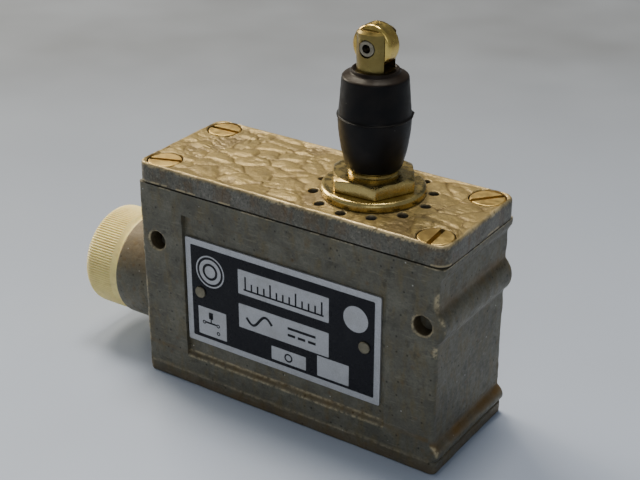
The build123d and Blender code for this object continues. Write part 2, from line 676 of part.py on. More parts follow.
def gland_seal():
    x1 = GLAND_SEAT_X - GLAND_WASHER_T
    return gland_ring(GLAND_THREAD_R - 0.25, CABLE_R - 0.5, x1 - GLAND_SEAL_T, x1)


def gland_pressure_washer():
    x1 = GLAND_SEAT_X - GLAND_WASHER_T - GLAND_SEAL_T
    return gland_ring(GLAND_THREAD_R - 0.3, CABLE_R + 0.1, x1 - GLAND_WASHER_T, x1)


def gland_cap():
    x_in = GLAND_SEAT_X - 2 * GLAND_WASHER_T - GLAND_SEAL_T
    cap = bar_x(GLAND_THREAD_R - THREAD_GAP, GLAND_BOSS_END, x_in)
    cap += bar_x(GLAND_COLLAR_R, GLAND_HEAD_X, GLAND_BOSS_END)
    step = 2 * pi / KNURL_TEETH
    teeth = []
    for n in range(KNURL_TEETH):
        teeth.append((GLAND_HEAD_R * cos(n * step), GLAND_HEAD_R * sin(n * step)))
        root = GLAND_HEAD_R - KNURL_DEPTH
        teeth.append((root * cos((n + 0.5) * step), root * sin((n + 0.5) * step)))
    head = extrude(make_face(Polyline(*teeth, close=True)), GLAND_HEAD_X - GLAND_HEAD_END)
    head = Pos(GLAND_HEAD_END, 0, GLAND_Z) * Rot(0, 90, 0) * head
    limit = bar_x(GLAND_HEAD_R + 0.1, GLAND_HEAD_END, GLAND_HEAD_X)
    limit = chamfer(limit.edges().group_by(Axis.X)[0], 1.2)
    limit = chamfer(limit.edges().group_by(Axis.X)[-1], 0.5)
    cap += head & limit
    cap -= bar_x(CABLE_R, GLAND_HEAD_END - 1, x_in + 1)
    return cap - bar_x(CABLE_R + 0.6, GLAND_BOSS_END - 0.5, x_in + 1)


PARTS = {
    "housing": housing,
    "cover": cover,
    "cover_gasket": cover_gasket,
    "cover_screws": cover_screws,
    "nameplate": nameplate,
    "nameplate_rivets": nameplate_rivets,
    "flange_washer": flange_washer,
    "bush_seal": bush_seal,
    "guide_bush": guide_bush,
    "bush_locknut": bush_locknut,
    "boot": boot,
    "plunger": plunger,
    "roller": roller,
    "roller_pin": roller_pin,
    "retaining_ring": retaining_ring,
    "return_spring": return_spring,
    "overtravel_spring": overtravel_spring,
    "drive_pin": drive_pin,
    "block_base": block_base,
    "block_cover": block_cover,
    "block_screws": block_screws,
    "switch_button": switch_button,
    "pivot_pin": pivot_pin,
    "contact_blade": contact_blade,
    "moving_contact": moving_contact,
    "fixed_contacts": fixed_contacts,
    "common_terminal": common_terminal,
    "nc_terminal": nc_terminal,
    "no_terminal": no_terminal,
    "terminal_clamps": terminal_clamps,
    "terminal_screws": terminal_screws,
    "snap_spring": snap_spring,
    "insulating_liner": insulating_liner,
    "earth_clamp": earth_clamp,
    "earth_screw": earth_screw,
    "gland_inner_washer": gland_inner_washer,
    "gland_seal": gland_seal,
    "gland_pressure_washer": gland_pressure_washer,
    "gland_cap": gland_cap,
}

os.makedirs("parts", exist_ok=True)
for part_name, make in PARTS.items():
    save(part_name, make())
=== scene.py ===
"""Looks of a roller plunger limit switch: cast housing and cobbled cover, name plate, brass head with
a rubber boot, and a ribbed plastic gland cap, built round the fixed frame in metres."""

import bmesh
import bpy
import numpy as np
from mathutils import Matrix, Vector


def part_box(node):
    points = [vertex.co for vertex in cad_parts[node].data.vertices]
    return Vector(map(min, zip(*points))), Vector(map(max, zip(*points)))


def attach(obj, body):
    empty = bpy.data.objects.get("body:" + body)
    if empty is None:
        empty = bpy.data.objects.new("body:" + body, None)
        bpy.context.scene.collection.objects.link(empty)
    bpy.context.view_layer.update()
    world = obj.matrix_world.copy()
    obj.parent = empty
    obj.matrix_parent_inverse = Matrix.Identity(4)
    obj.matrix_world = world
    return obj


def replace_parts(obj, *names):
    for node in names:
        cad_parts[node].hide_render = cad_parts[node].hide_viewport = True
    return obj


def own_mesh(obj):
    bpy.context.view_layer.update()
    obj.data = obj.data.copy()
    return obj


bl_info = {
    "name": "Limit Switch Looks",
    "version": (1, 0, 0),
    "blender": (4, 5, 0),
    "location": "View3D > Sidebar > Limit Switch",
    "description": "Builds the cast, turned and moulded surfaces of a roller plunger limit switch",
    "category": "Mesh",
}

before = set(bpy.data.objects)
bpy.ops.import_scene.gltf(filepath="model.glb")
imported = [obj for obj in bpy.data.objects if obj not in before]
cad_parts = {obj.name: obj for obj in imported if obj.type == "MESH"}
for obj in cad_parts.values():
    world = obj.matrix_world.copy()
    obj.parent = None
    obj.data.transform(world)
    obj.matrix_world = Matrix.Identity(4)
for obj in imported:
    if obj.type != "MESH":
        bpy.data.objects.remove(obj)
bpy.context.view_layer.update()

MM = 0.001


def node_box(name):
    """Lowest and highest corner of a CAD node, in millimetres, as arrays."""
    low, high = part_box(name)
    return np.array(low) / MM, np.array(high) / MM


HOUSING_HIGH = node_box("housing")[1]
COVER_HIGH = node_box("cover")[1]
FLANGE_LOW, FLANGE_HIGH = node_box("flange_washer")
BUSH_LOW, BUSH_HIGH = node_box("guide_bush")
BOOT_LOW, BOOT_HIGH = node_box("boot")
ROLLER_LOW, ROLLER_HIGH = node_box("roller")
PLATE_LOW, PLATE_HIGH = node_box("nameplate")
CAP_LOW, CAP_HIGH = node_box("gland_cap")
SCREWS_LOW, SCREWS_HIGH = node_box("cover_screws")

HEAD_X = float(FLANGE_LOW[0] + FLANGE_HIGH[0]) / 2
HALF_W = float(HOUSING_HIGH[1])
HALF_L = float(COVER_HIGH[0]) - 0.1
JOINT_Z = float(HOUSING_HIGH[2])
GLAND_Z = float(CAP_LOW[2] + CAP_HIGH[2]) / 2
SCREW_REACH = 35.0
FIXING_X = float(SCREWS_HIGH[0] + SCREWS_LOW[0]) / 2 + SCREW_REACH
HOLE_R = 2.15
HOLE_Z = 35.5
BOSS_R = 5.2
SCREW_Y = 11.0
INDEX_RING_R = 12.85
INDEX_HOLES = 12
BUSH_HOLE_R = 6.1
HEX_HALF = 8.5
CONE_SLOPE = 0.42
PLUNGER_TRAVEL = 5.0
VIEW_TURN = 34


# ---------------------------------------------------------------- settings a user would change
def colour_setting(label, about, value):
    """A colour that the panel shows as a swatch."""
    return bpy.props.FloatVectorProperty(
        name=label, description=about, subtype="COLOR", size=3, default=value, min=0.0, max=1.0)


def length_setting(label, about, value, low, high):
    """A length in millimetres with its limits."""
    return bpy.props.FloatProperty(
        name=label, description=about + ", in millimetres", default=value, min=low, max=high)


class CastSettings(bpy.types.PropertyGroup):
    roughness_mm: length_setting("Casting roughness", "Height of the cast skin's waves", 0.05, 0.0, 0.3)
    cobble_mm: length_setting("Cobble depth", "Depth of the grooves between the cobbles", 0.42, 0.0, 1.0)
    cobble_size_mm: length_setting("Cobble size", "Usual width of one cobble", 4.8, 1.0, 12.0)
    body_colour: colour_setting("Body colour", "Colour of the housing casting", (0.128, 0.120, 0.090))
    cover_colour: colour_setting("Cover colour", "Colour of the cover's high spots", (0.302, 0.225, 0.086))


class HeadSettings(bpy.types.PropertyGroup):
    brass_colour: colour_setting("Brass colour", "Colour of the turned brass parts", (0.52, 0.40, 0.15))
    boot_colour: colour_setting("Boot colour", "Colour of the rubber boot", (0.004, 0.0035, 0.0035))
    hex_turn: bpy.props.FloatProperty(
        name="Hexagon turn", description="Angle of the hexagon's first corner from the housing's length",
        subtype="ANGLE", default=float(np.radians(3.3)))


class GlandSettings(bpy.types.PropertyGroup):
    ribs: bpy.props.IntProperty(
        name="Ribs", description="Number of grip ribs round the cap", default=118, min=24, max=200)
    cap_colour: colour_setting("Cap colour", "Colour of the moulded cap", (0.96, 0.80, 0.33))


class PlateSettings(bpy.types.PropertyGroup):
    border_mm: length_setting("Border", "Width of the plate's bare metal border", 1.5, 0.2, 5.0)
    ink_colour: colour_setting("Ink colour", "Colour of the printed field", (0.006, 0.006, 0.009))
    metal_colour: colour_setting("Metal colour", "Colour of the plate's bare metal", (0.42, 0.42, 0.43))


# ---------------------------------------------------------------- numbers on arrays
def scatter(i, j, k, seed):
    """A repeatable random number from -1 to 1 for each whole-number place (i, j, k)."""
    n = (i * 73856093) ^ (j * 19349663) ^ (k * 83492791) ^ (seed * 2654435761)
    n = (n ^ (n >> 13)) * 1274126177 & 0xFFFFFFFF
    n = ((n ^ (n >> 16)) * 2246822519) & 0xFFFFFFFF
    return ((n >> 8) & 0xFFFF) / 32767.5 - 1.0


def waves(points, size, seed):
    """Smooth noise from -1 to 1: random values on a cubic lattice of the given size, eased between."""
    q = points / size
    base = np.floor(q).astype(np.int64)
    t = q - base
    t = t * t * (3 - 2 * t)
    total = np.zeros(len(points))
    for corner in range(8):
        step = np.array([corner & 1, corner >> 1 & 1, corner >> 2 & 1])
        weight = np.prod(np.where(step, t, 1 - t), axis=1)
        at = base + step
        total += weight * scatter(at[:, 0], at[:, 1], at[:, 2], seed)
    return total


def layered(points, size, seed, layers=3):
    """Noise at several sizes, each half as large and half as strong as the one before."""
    total = np.zeros(len(points))
    for n in range(layers):
        total += waves(points, size / 2**n, seed + n) / 2**n
    return total


def cells(x, y, size, seed):
    """For points scattered one to each square: the distance to the nearest and the next nearest, the
    offset from the nearest, and a random number from -1 to 1 that belongs to the nearest."""
    base_x = np.floor(x / size).astype(np.int64)
    base_y = np.floor(y / size).astype(np.int64)
    first, second = np.full(len(x), 1e9), np.full(len(x), 1e9)
    own, off_x, off_y = np.zeros(len(x)), np.zeros(len(x)), np.zeros(len(x))
    for dx in (-1, 0, 1):
        for dy in (-1, 0, 1):
            cx, cy = base_x + dx, base_y + dy
            ox = x - (cx + 0.5 + 0.42 * scatter(cx, cy, cx * 0, seed)) * size
            oy = y - (cy + 0.5 + 0.42 * scatter(cx, cy, cx * 0 + 7, seed)) * size
            d = np.hypot(ox, oy)
            nearer = d < first
            second = np.where(nearer, first, np.minimum(second, d))
            own = np.where(nearer, scatter(cx, cy, cx * 0 + 3, seed), own)
            off_x, off_y = np.where(nearer, ox, off_x), np.where(nearer, oy, off_y)
            first = np.where(nearer, d, first)
    return first, second, off_x, off_y, own


def ease(x, low, high):
    """0 below low, 1 above high, and a smooth step between."""
    t = np.clip((x - low) / (high - low), 0, 1)
    return t * t * (3 - 2 * t)


def band(x, at, width):
    """1 at the given place, fading to 0 on both sides over about the width."""
    return np.exp(-(((x - at) / width) ** 2))


def soft_max(a, b, blend):
    """The larger of two values, with the corner between them rounded over the blend width."""
    h = np.clip(0.5 + (a - b) / (2 * blend), 0, 1)
    return b + (a - b) * h + blend * h * (1 - h)


def spread(low, high, step):
    """Even steps from low to high, both ends included, no wider than step."""
    count = max(1, int(np.ceil((high - low) / step - 1e-6)))
    return np.linspace(low, high, count + 1)


def graded(stops, step, gap=0.05):
    """Even steps between the stops, with two places close together at each inner stop."""
    runs = []
    for n in range(len(stops) - 1):
        low = stops[n] + (gap if n else 0.0)
        high = stops[n + 1] - (gap if n + 2 < len(stops) else 0.0)
        runs.append(spread(low, high, step))
    return np.concatenate(runs)


# ---------------------------------------------------------------- surfaces
def grid_quads(rows, columns, wrap_rows=False, wrap_columns=True):
    """Corner indices of the quads of a grid of points, row by row."""
    r = np.arange(rows if wrap_rows else rows - 1)
    c = np.arange(columns if wrap_columns else columns - 1)
    r0, c0 = np.meshgrid(r, c, indexing="ij")
    r1, c1 = (r0 + 1) % rows, (c0 + 1) % columns
    quads = np.stack([r0 * columns + c0, r0 * columns + c1, r1 * columns + c1, r1 * columns + c0], -1)
    return quads.reshape(-1, 4)


def new_piece(name, points, faces, material, body="root", smooth=True, attributes=None):
    """Puts millimetre points and faces into a mesh in metres and hangs it on its body.
    Doubles are merged, which closes seams and poles, and the faces are turned to point outwards."""
    mesh = bpy.data.meshes.new(name)
    mesh.from_pydata((np.asarray(points, float) * MM).tolist(), [], [list(map(int, f)) for f in faces])
    for key, values in (attributes or {}).items():
        layer = mesh.attributes.new(key, "FLOAT", "POINT")
        layer.data.foreach_set("value", np.asarray(values, np.float32))
    work = bmesh.new()
    work.from_mesh(mesh)
    bmesh.ops.remove_doubles(work, verts=work.verts, dist=1e-7)
    bmesh.ops.dissolve_degenerate(work, dist=1e-8, edges=work.edges)
    bmesh.ops.recalc_face_normals(work, faces=work.faces)
    work.to_mesh(mesh)
    work.free()
    mesh.validate()
    mesh.polygons.foreach_set("use_smooth", np.full(len(mesh.polygons), smooth))
    mesh.materials.append(material)
    mesh.update()
    piece = bpy.data.objects.new(name, mesh)
    bpy.context.scene.collection.objects.link(piece)
    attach(piece, body)
    return piece


def crease(piece, degrees):
    """Shades the piece smooth, with sharp edges where two faces meet at more than the angle."""
    mesh = piece.data
    work = bmesh.new()
    work.from_mesh(mesh)
    limit = np.radians(degrees)
    for edge in work.edges:
        edge.smooth = len(edge.link_faces) != 2 or bool(edge.calc_face_angle(0.0) < limit)
    work.to_mesh(mesh)
    work.free()
    return piece


def turned_points(profile, steps, axis, centre):
    """A profile of (radius, height) points carried round an axis: height runs along the axis, and
    the radius swings through a full turn of even steps."""
    angle = np.arange(steps) * 2 * np.pi / steps
    radius, height = profile[:, :1], profile[:, 1:]
    across, up = radius * np.cos(angle), radius * np.sin(angle)
    along = np.repeat(height, steps, 1)
    stacked = {"z": (across, up, along), "y": (across, along, -up), "x": (along, across, up)}[axis]
    return np.stack(stacked, -1).reshape(-1, 3) + np.array(centre)


def turned_piece(name, outline, steps, axis, centre, material, body="root"):
    """A ring-shaped piece: a closed outline carried round the axis."""
    points = turned_points(outline, steps, axis, centre)
    return new_piece(name, points, grid_quads(len(outline), steps, wrap_rows=True), material, body)


def smooth_profile(corners, radii):
    """An outline of straight runs whose corners are arcs. Each arc is a quadratic curve that starts
    and ends its radius away from the corner, along the two runs that meet there."""
    corners = np.asarray(corners, float)
    made = []
    count = len(corners)
    for n in range(count):
        before, here, after = corners[n - 1], corners[n], corners[(n + 1) % count]
        r = radii[n]
        if r == 0:
            made.append(here[None])
            continue
        a = here + (before - here) / np.linalg.norm(before - here) * r
        b = here + (after - here) / np.linalg.norm(after - here) * r
        t = np.linspace(0, 1, 6)[:, None]
        made.append((1 - t) ** 2 * a + 2 * t * (1 - t) * here + t**2 * b)
    return np.concatenate(made)


class Skin:
    """The surface of a rounded rectangular box as a grid: columns run round the outline, rows run
    up the sides or in across the top and bottom to the box's middle line."""

    def __init__(self, half_x, half_y, corner, front_x, step, arc):
        side_y = spread(-(half_y - corner), half_y - corner, step)
        inner_x, inner_y = half_x - corner, half_y - corner
        turn = np.linspace(0, np.pi / 2, arc + 1)[1:-1]
        pieces = [
            (np.stack([front_x, np.full(len(front_x), -inner_y)], 1), np.full(len(front_x), -np.pi / 2)),
            (np.tile([inner_x, -inner_y], (len(turn), 1)), turn - np.pi / 2),
            (np.stack([np.full(len(side_y), inner_x), side_y], 1), np.zeros(len(side_y))),
            (np.tile([inner_x, inner_y], (len(turn), 1)), turn),
            (np.stack([front_x[::-1], np.full(len(front_x), inner_y)], 1), np.full(len(front_x), np.pi / 2)),
            (np.tile([-inner_x, inner_y], (len(turn), 1)), turn + np.pi / 2),
            (np.stack([np.full(len(side_y), -inner_x), side_y[::-1]], 1), np.full(len(side_y), np.pi)),
            (np.tile([-inner_x, -inner_y], (len(turn), 1)), turn + np.pi),
        ]
        self.core = np.concatenate([p[0] for p in pieces])
        self.angle = np.concatenate([p[1] for p in pieces])
        self.normal = np.stack([np.cos(self.angle), np.sin(self.angle)], 1)
        self.outer = self.core + self.normal * corner
        reach = half_x - half_y
        self.middle = np.stack([np.clip(self.outer[:, 0], -reach, reach), 0 * self.angle], 1)
        self.columns = len(self.angle)
        self.front = len(front_x)
        start = self.front + len(turn) + len(side_y) + len(turn)
        self.across = np.full(self.columns, -1)
        self.across[: self.front] = start + np.arange(self.front)[::-1]
        self.across[start : start + self.front] = np.arange(self.front)[::-1]

    def inset(self, share):
        """The outline shrunk towards the middle line, share 0 being the outline itself."""
        return self.outer * (1 - share) + self.middle * share

    def stack(self, rows):
        """Rows of (outline, height, kind) as grids of x, y, height and kind."""
        xy = np.stack([row[0] for row in rows])
        heights = np.array([row[1] for row in rows], float)
        kinds = np.array([row[2] for row in rows])
        z, kind = (np.tile(v[:, None], self.columns) for v in (heights, kinds))
        return xy[..., 0].copy(), xy[..., 1].copy(), z, kind


def rim_edges(quads, removed):
    """Directed edges of the quads that stay, where they meet a quad that is removed."""
    kept = quads[~removed]
    gone = quads[removed]
    size = quads.max() + 1
    kept_edges = np.stack([kept, np.roll(kept, -1, 1)], -1).reshape(-1, 2)
    gone_edges = np.stack([gone, np.roll(gone, -1, 1)], -1).reshape(-1, 2)
    keys = kept_edges[:, 0].astype(np.int64) * size + kept_edges[:, 1]
    other = gone_edges[:, 1].astype(np.int64) * size + gone_edges[:, 0]
    return kept_edges[np.isin(keys, other)]


class Shell:
    """A grid surface while holes are made in it: its points, the quads that stay, the rings of points
    added by the holes, and one row of values per point for each attribute."""

    def __init__(self, points, quads, values):
        self.points, self.quads = points, quads
        self.removed = np.zeros(len(quads), bool)
        self.added, self.faces = [], []
        self.count = len(points)
        self.names = list(values)
        self.values = [np.stack([values[key] for key in self.names], 1)]

    def hole(self, inside, centre, plane, along, radius, levels, mirrored=None, marks=None):
        """Takes away the quads that touch the points in `inside` and joins the ragged rim to a true
        circle, then to one circle per level: (radius, share of the rim's own height, height). With
        `mirrored`, the last circle is joined to the matching rim on the far side; without it the last
        level is closed by a point at the centre."""
        gone = inside[self.quads].any(1)
        rim = rim_edges(self.quads, gone)
        ring = np.unique(rim)
        a, b = np.searchsorted(ring, rim[:, 0]), np.searchsorted(ring, rim[:, 1])
        self.removed |= gone
        sides = [ring] if mirrored is None else [ring, mirrored[ring]]
        if mirrored is not None:
            far = np.zeros(len(self.points), bool)
            far[mirrored[inside]] = True
            self.removed |= far[self.quads].any(1)
        for side in sides:
            away = self.points[side][:, plane] - centre
            length = np.maximum(np.linalg.norm(away, axis=1), 1e-9)
            least = np.maximum(length, radius)
            self.points[side[:, None], plane] = centre + away / length[:, None] * least[:, None]
        away = self.points[ring][:, plane] - centre
        unit = away / np.linalg.norm(away, axis=1)[:, None]
        loops = [ring]
        for n, (r, share, height) in enumerate(levels):
            loop = np.zeros((len(ring), 3))
            loop[:, plane] = centre + unit * r
            own = self.points[mirrored[ring] if share < 0 else ring][:, along]
            loop[:, along] = own * abs(share) + height
            loops.append(self.count + np.arange(len(ring)))
            self.added.append(loop)
            own_marks = marks[n] if marks else np.zeros(len(self.names))
            self.values.append(np.tile(own_marks, (len(ring), 1)))
            self.count += len(ring)
        if mirrored is not None:
            loops.append(mirrored[ring])
        for near, far in zip(loops[:-1], loops[1:]):
            self.faces.append(np.stack([near[b], near[a], far[a], far[b]], 1))
        if mirrored is None:
            last = self.added[-1].mean(0)
            last[plane] = centre
            self.added.append(last[None])
            self.values.append(self.values[-1][:1])
            middle = np.full(len(a), self.count)
            self.faces.append(np.stack([loops[-1][b], loops[-1][a], middle], 1))
            self.count += 1

    def build(self):
        """All points, all faces and the attribute arrays."""
        faces = [self.quads[~self.removed]] + self.faces
        values = np.concatenate(self.values)
        return (np.concatenate([self.points] + self.added), [f for block in faces for f in block.tolist()],
                {key: values[:, n] for n, key in enumerate(self.names)})


# ---------------------------------------------------------------- materials
class Nodes:
    """A short way to write a material's node tree: each call makes a node and returns an output."""

    def __init__(self, name, roughness=0.5, metallic=0.0, specular=0.5):
        self.material = bpy.data.materials.new(name)
        self.material.use_nodes = True
        self.tree = self.material.node_tree
        self.shader = self.tree.nodes["Principled BSDF"]
        self.shader.inputs["Roughness"].default_value = roughness
        self.shader.inputs["Metallic"].default_value = metallic
        self.shader.inputs["Specular IOR Level"].default_value = specular
        self.place = self.tree.nodes.new("ShaderNodeTexCoord").outputs["Object"]

    def put(self, target, value):
        if isinstance(value, bpy.types.NodeSocket):
            self.tree.links.new(value, target)
        elif target.type == "RGBA":
            target.default_value = (*value, 1.0)
        else:
            target.default_value = value

    def texture(self, kind, scale, place):
        """A noise or cell texture node at this scale, moved to a place of its own."""
        mapping = self.tree.nodes.new("ShaderNodeMapping")
        mapping.inputs["Scale"].default_value = scale
        mapping.inputs["Location"].default_value = place
        self.tree.links.new(self.place, mapping.inputs["Vector"])
        node = self.tree.nodes.new(kind)
        node.inputs["Scale"].default_value = 1.0
        self.tree.links.new(mapping.outputs["Vector"], node.inputs["Vector"])
        return node

    def noise(self, size_mm, detail=3.0, rough=0.55, stretch=(1, 1, 1), seed=0.0):
        """Noise whose blotches are about size_mm across."""
        scale = [s / (size_mm * MM) for s in stretch]
        node = self.texture("ShaderNodeTexNoise", scale, (seed, seed * 1.7, seed * 0.3))
        node.inputs["Detail"].default_value = detail
        node.inputs["Roughness"].default_value = rough
        return node.outputs["Fac"]

    def spots(self, size_mm, seed=0.0):
        """Distance to scattered points about size_mm apart, for pits and specks."""
        node = self.texture("ShaderNodeTexVoronoi", [1 / (size_mm * MM)] * 3, (seed, seed, seed))
        return node.outputs["Distance"]

    def patches(self, base, colour, noise, low, high, share):
        """Puts a colour over the base where the noise rises from low to high, up to the share."""
        return self.mix(self.remap(noise, low, high, 0.0, share), base, colour)

    def specks(self, base, colour, size_mm, seed, low, high, share):
        """Puts a colour over the base in small round specks."""
        near = self.remap(self.spots(size_mm, seed), low, high, 1.0, 0.0)
        return self.mix(self.math("MULTIPLY", near, share), base, colour)

    def gloss(self, size_mm, low, high, detail=4.0, seed=0.0):
        """Roughness that wanders between two values."""
        return self.remap(self.noise(size_mm, detail, seed=seed), 0.3, 0.7, low, high)

    def attribute(self, name):
        node = self.tree.nodes.new("ShaderNodeAttribute")
        node.attribute_name = name
        return node.outputs["Fac"]

    def remap(self, value, low, high, to_low=0.0, to_high=1.0):
        node = self.tree.nodes.new("ShaderNodeMapRange")
        for key, number in (("From Min", low), ("From Max", high), ("To Min", to_low), ("To Max", to_high)):
            node.inputs[key].default_value = number
        self.tree.links.new(value, node.inputs["Value"])
        return node.outputs["Result"]

    def math(self, kind, a, b):
        node = self.tree.nodes.new("ShaderNodeMath")
        node.operation = kind
        self.put(node.inputs[0], a)
        self.put(node.inputs[1], b)
        return node.outputs[0]

    def mix(self, share, a, b):
        node = self.tree.nodes.new("ShaderNodeMix")
        node.data_type = "RGBA"
        self.put(node.inputs["Factor"], share)
        self.put(node.inputs[6], a)
        self.put(node.inputs[7], b)
        return node.outputs[2]

    def bump(self, height, strength, depth_mm, below=None):
        node = self.tree.nodes.new("ShaderNodeBump")
        node.inputs["Strength"].default_value = strength
        node.inputs["Distance"].default_value = depth_mm * MM
        self.tree.links.new(height, node.inputs["Height"])
        if below is not None:
            self.tree.links.new(below, node.inputs["Normal"])
        return node.outputs["Normal"]

    def done(self, colour=None, roughness=None, normal=None, metallic=None):
        sockets = {"Base Color": colour, "Roughness": roughness, "Normal": normal, "Metallic": metallic}
        for key, value in sockets.items():
            if value is not None:
                self.put(self.shader.inputs[key], value)
        return self.material


def shade(colour, by):
    """The colour made lighter or darker by a factor."""
    return tuple(min(1.0, c * by) for c in colour)


def tinted(colour, red, green, blue):
    """The colour with each channel multiplied by its own factor."""
    return colour[0] * red, colour[1] * green, colour[2] * blue


def cast_body_material(colour):
    """Grey die casting, once lacquered: olive and brown mottling, dark pits, pale flecks, worn edges with a
    painted highlight along the recess's ledge, and painted shade down the bores."""
    m = Nodes("body_finish", 0.5, 0.3, 0.35)
    base = m.mix(m.remap(m.noise(7.0, 5.0, 0.6), 0.36, 0.64), shade(colour, 0.74), shade(colour, 1.20))
    streak = m.noise(2.2, 4.0, 0.6, stretch=(1, 1, 0.35), seed=7.0)
    base = m.patches(base, tinted(colour, 1.1, 0.92, 0.58), streak, 0.48, 0.66, 0.65)
    base = m.patches(base, shade(colour, 0.5), m.noise(0.55, 3.0, 0.6, seed=3.0), 0.42, 0.66, 0.4)
    base = m.patches(base, shade(colour, 0.35), m.noise(2.6, 5.0, 0.65, seed=13.0), 0.57, 0.68, 0.55)
    scuff = m.noise(0.9, 3.0, 0.6, stretch=(0.35, 0.35, 1.6), seed=21.0)
    base = m.patches(base, shade(colour, 1.7), scuff, 0.58, 0.70, 0.4)
    pits = m.remap(m.spots(2.3, 2.0), 0.05, 0.15, 1.0, 0.0)
    base = m.mix(m.math("MULTIPLY", pits, 0.85), base, shade(colour, 0.16))
    base = m.specks(base, tinted(colour, 1.0, 0.66, 0.35), 3.4, 5.0, 0.04, 0.22, 0.5)
    base = m.specks(base, (0.52, 0.50, 0.45), 4.2, 9.0, 0.02, 0.055, 0.75)
    base = m.mix(m.attribute("stain"), base, (0.15, 0.082, 0.020))
    # the wear also carries the painted highlight along the recess's ledge
    wear = m.math("MULTIPLY", m.attribute("wear"), m.remap(m.noise(0.9, 4.0, seed=5.0), 0.35, 0.6))
    base = m.mix(wear, base, (0.56, 0.47, 0.29))
    # painted shade down the two bores, from the attribute set on the holes' circles
    base = m.mix(m.attribute("painted_bore_shade"), base, shade(colour, 0.12))
    normal = m.bump(m.noise(0.7, 4.0, 0.6, seed=1.0), 0.45, 0.09)
    normal = m.bump(pits, -0.6, 0.12, normal)
    return m.done(base, m.gloss(1.1, 0.38, 0.62, seed=11.0), normal, m.remap(wear, 0.0, 1.0, 0.3, 0.8))


def cast_cover_material(colour, side):
    """Cobbled casting: tan cobbles each of its own tone, painted brown shade in the grooves and down the
    holes, purplish low patches, blue-grey sides with brown stains, and a golden worn edge."""
    m = Nodes("cover_finish", 0.45, 0.45, 0.4)
    blotch = m.remap(m.noise(7.0, 4.0), 0.36, 0.64)
    light = m.mix(m.attribute("tone"), shade(colour, 0.78), shade(colour, 1.16))
    light = m.mix(m.math("MULTIPLY", blotch, 0.5), light, tinted(colour, 1.05, 1.0, 0.86))
    grey = tinted(colour, 0.62, 0.60, 0.72)
    light = m.mix(m.math("MULTIPLY", m.attribute("patch"), 0.8), light, grey)
    light = m.patches(light, grey, m.noise(2.2, 5.0, 0.6, seed=4.0), 0.52, 0.68, 0.55)
    light = m.patches(light, shade(colour, 0.42), m.noise(0.4, 4.0, 0.6, seed=8.0), 0.5, 0.68, 0.5)
    light = m.patches(light, shade(colour, 1.7), m.noise(0.6, 3.0, 0.6, seed=18.0), 0.6, 0.7, 0.6)
    # painted shade in the grooves between the cobbles and down the holes; it comes and goes along the grooves'
    # length
    broken = m.remap(m.noise(2.5, 3.0, seed=31.0), 0.35, 0.6, 0.25, 1.0)
    groove = m.math("MULTIPLY", m.attribute("groove"), broken)
    light = m.mix(m.math("MULTIPLY", groove, 0.9), light, tinted(colour, 0.30, 0.25, 0.20))
    dark = m.mix(blotch, shade(side, 0.8), tinted(side, 1.2, 1.2, 1.32))
    streak = m.noise(1.5, 4.0, stretch=(1, 1, 0.3), seed=7.0)
    dark = m.patches(dark, tinted(side, 0.9, 0.62, 0.4), streak, 0.5, 0.68, 0.75)
    dark = m.patches(dark, shade(side, 0.4), m.noise(0.5, 3.0, seed=3.0), 0.45, 0.68, 0.7)
    dark = m.patches(dark, shade(side, 2.2), m.noise(0.8, 3.0, 0.6, seed=23.0), 0.58, 0.7, 0.5)
    dark = m.mix(m.attribute("stain"), dark, (0.12, 0.065, 0.018))
    base = m.mix(m.attribute("top"), dark, light)
    wear = m.math("MULTIPLY", m.attribute("wear"), m.remap(m.noise(1.1, 4.0, seed=5.0), 0.3, 0.5))
    base = m.mix(wear, base, (0.85, 0.68, 0.38))
    normal = m.bump(m.noise(0.5, 5.0, 0.65, seed=1.0), 0.6, 0.09)
    normal = m.bump(m.noise(1.5, 4.0, 0.6, seed=6.0), 0.6, 0.22, normal)
    return m.done(base, m.gloss(0.9, 0.32, 0.52, seed=11.0), normal, m.remap(wear, 0.0, 1.0, 0.45, 0.85))


def turned_brass(name, colour, stretch=(1, 1, 12), roughness=0.30, tarnish=0.5):
    """Yellow turned brass: fine tool lines across the stretch axis, brown tarnish in soft patches."""
    m = Nodes(name, roughness, 1.0)
    brown = tinted(colour, 0.55, 0.42, 0.35)
    base = m.patches(colour, brown, m.noise(3.5, 4.0, seed=2.0), 0.42, 0.68, tarnish)
    base = m.patches(base, tinted(colour, 0.6, 0.62, 0.6), m.noise(0.6, 3.0, seed=5.0), 0.5, 0.8, 0.3)
    rough = m.gloss(1.5, roughness - 0.08, roughness + 0.14, seed=9.0)
    return m.done(base, rough, m.bump(m.noise(1.2, 2.0, stretch=stretch, seed=1.0), 0.25, 0.02))


def moulded_plastic(name, colour, dirt_and_groove_shade):
    """Moulded plastic: translucent at the skin, uneven in colour, with faint brownish patches and painted
    shade in the grooves.
    """
    m = Nodes(name, 0.42)
    m.shader.inputs["Subsurface Weight"].default_value = 0.25
    m.shader.inputs["Subsurface Radius"].default_value = (0.002, 0.0014, 0.0006)
    base = m.mix(m.remap(m.noise(6.0, 3.0), 0.35, 0.65), shade(colour, 0.92), shade(colour, 1.06))
    base = m.patches(base, dirt_and_groove_shade, m.noise(1.2, 4.0, seed=4.0), 0.5, 0.8, 0.35)
    # painted shade in the grooves between the ribs
    base = m.mix(m.math("MULTIPLY", m.attribute("groove"), 0.35), base, dirt_and_groove_shade)
    return m.done(base, m.gloss(0.8, 0.35, 0.52, 3.0, 2.0), m.bump(m.noise(0.3, 3.0, seed=6.0), 0.15, 0.02))


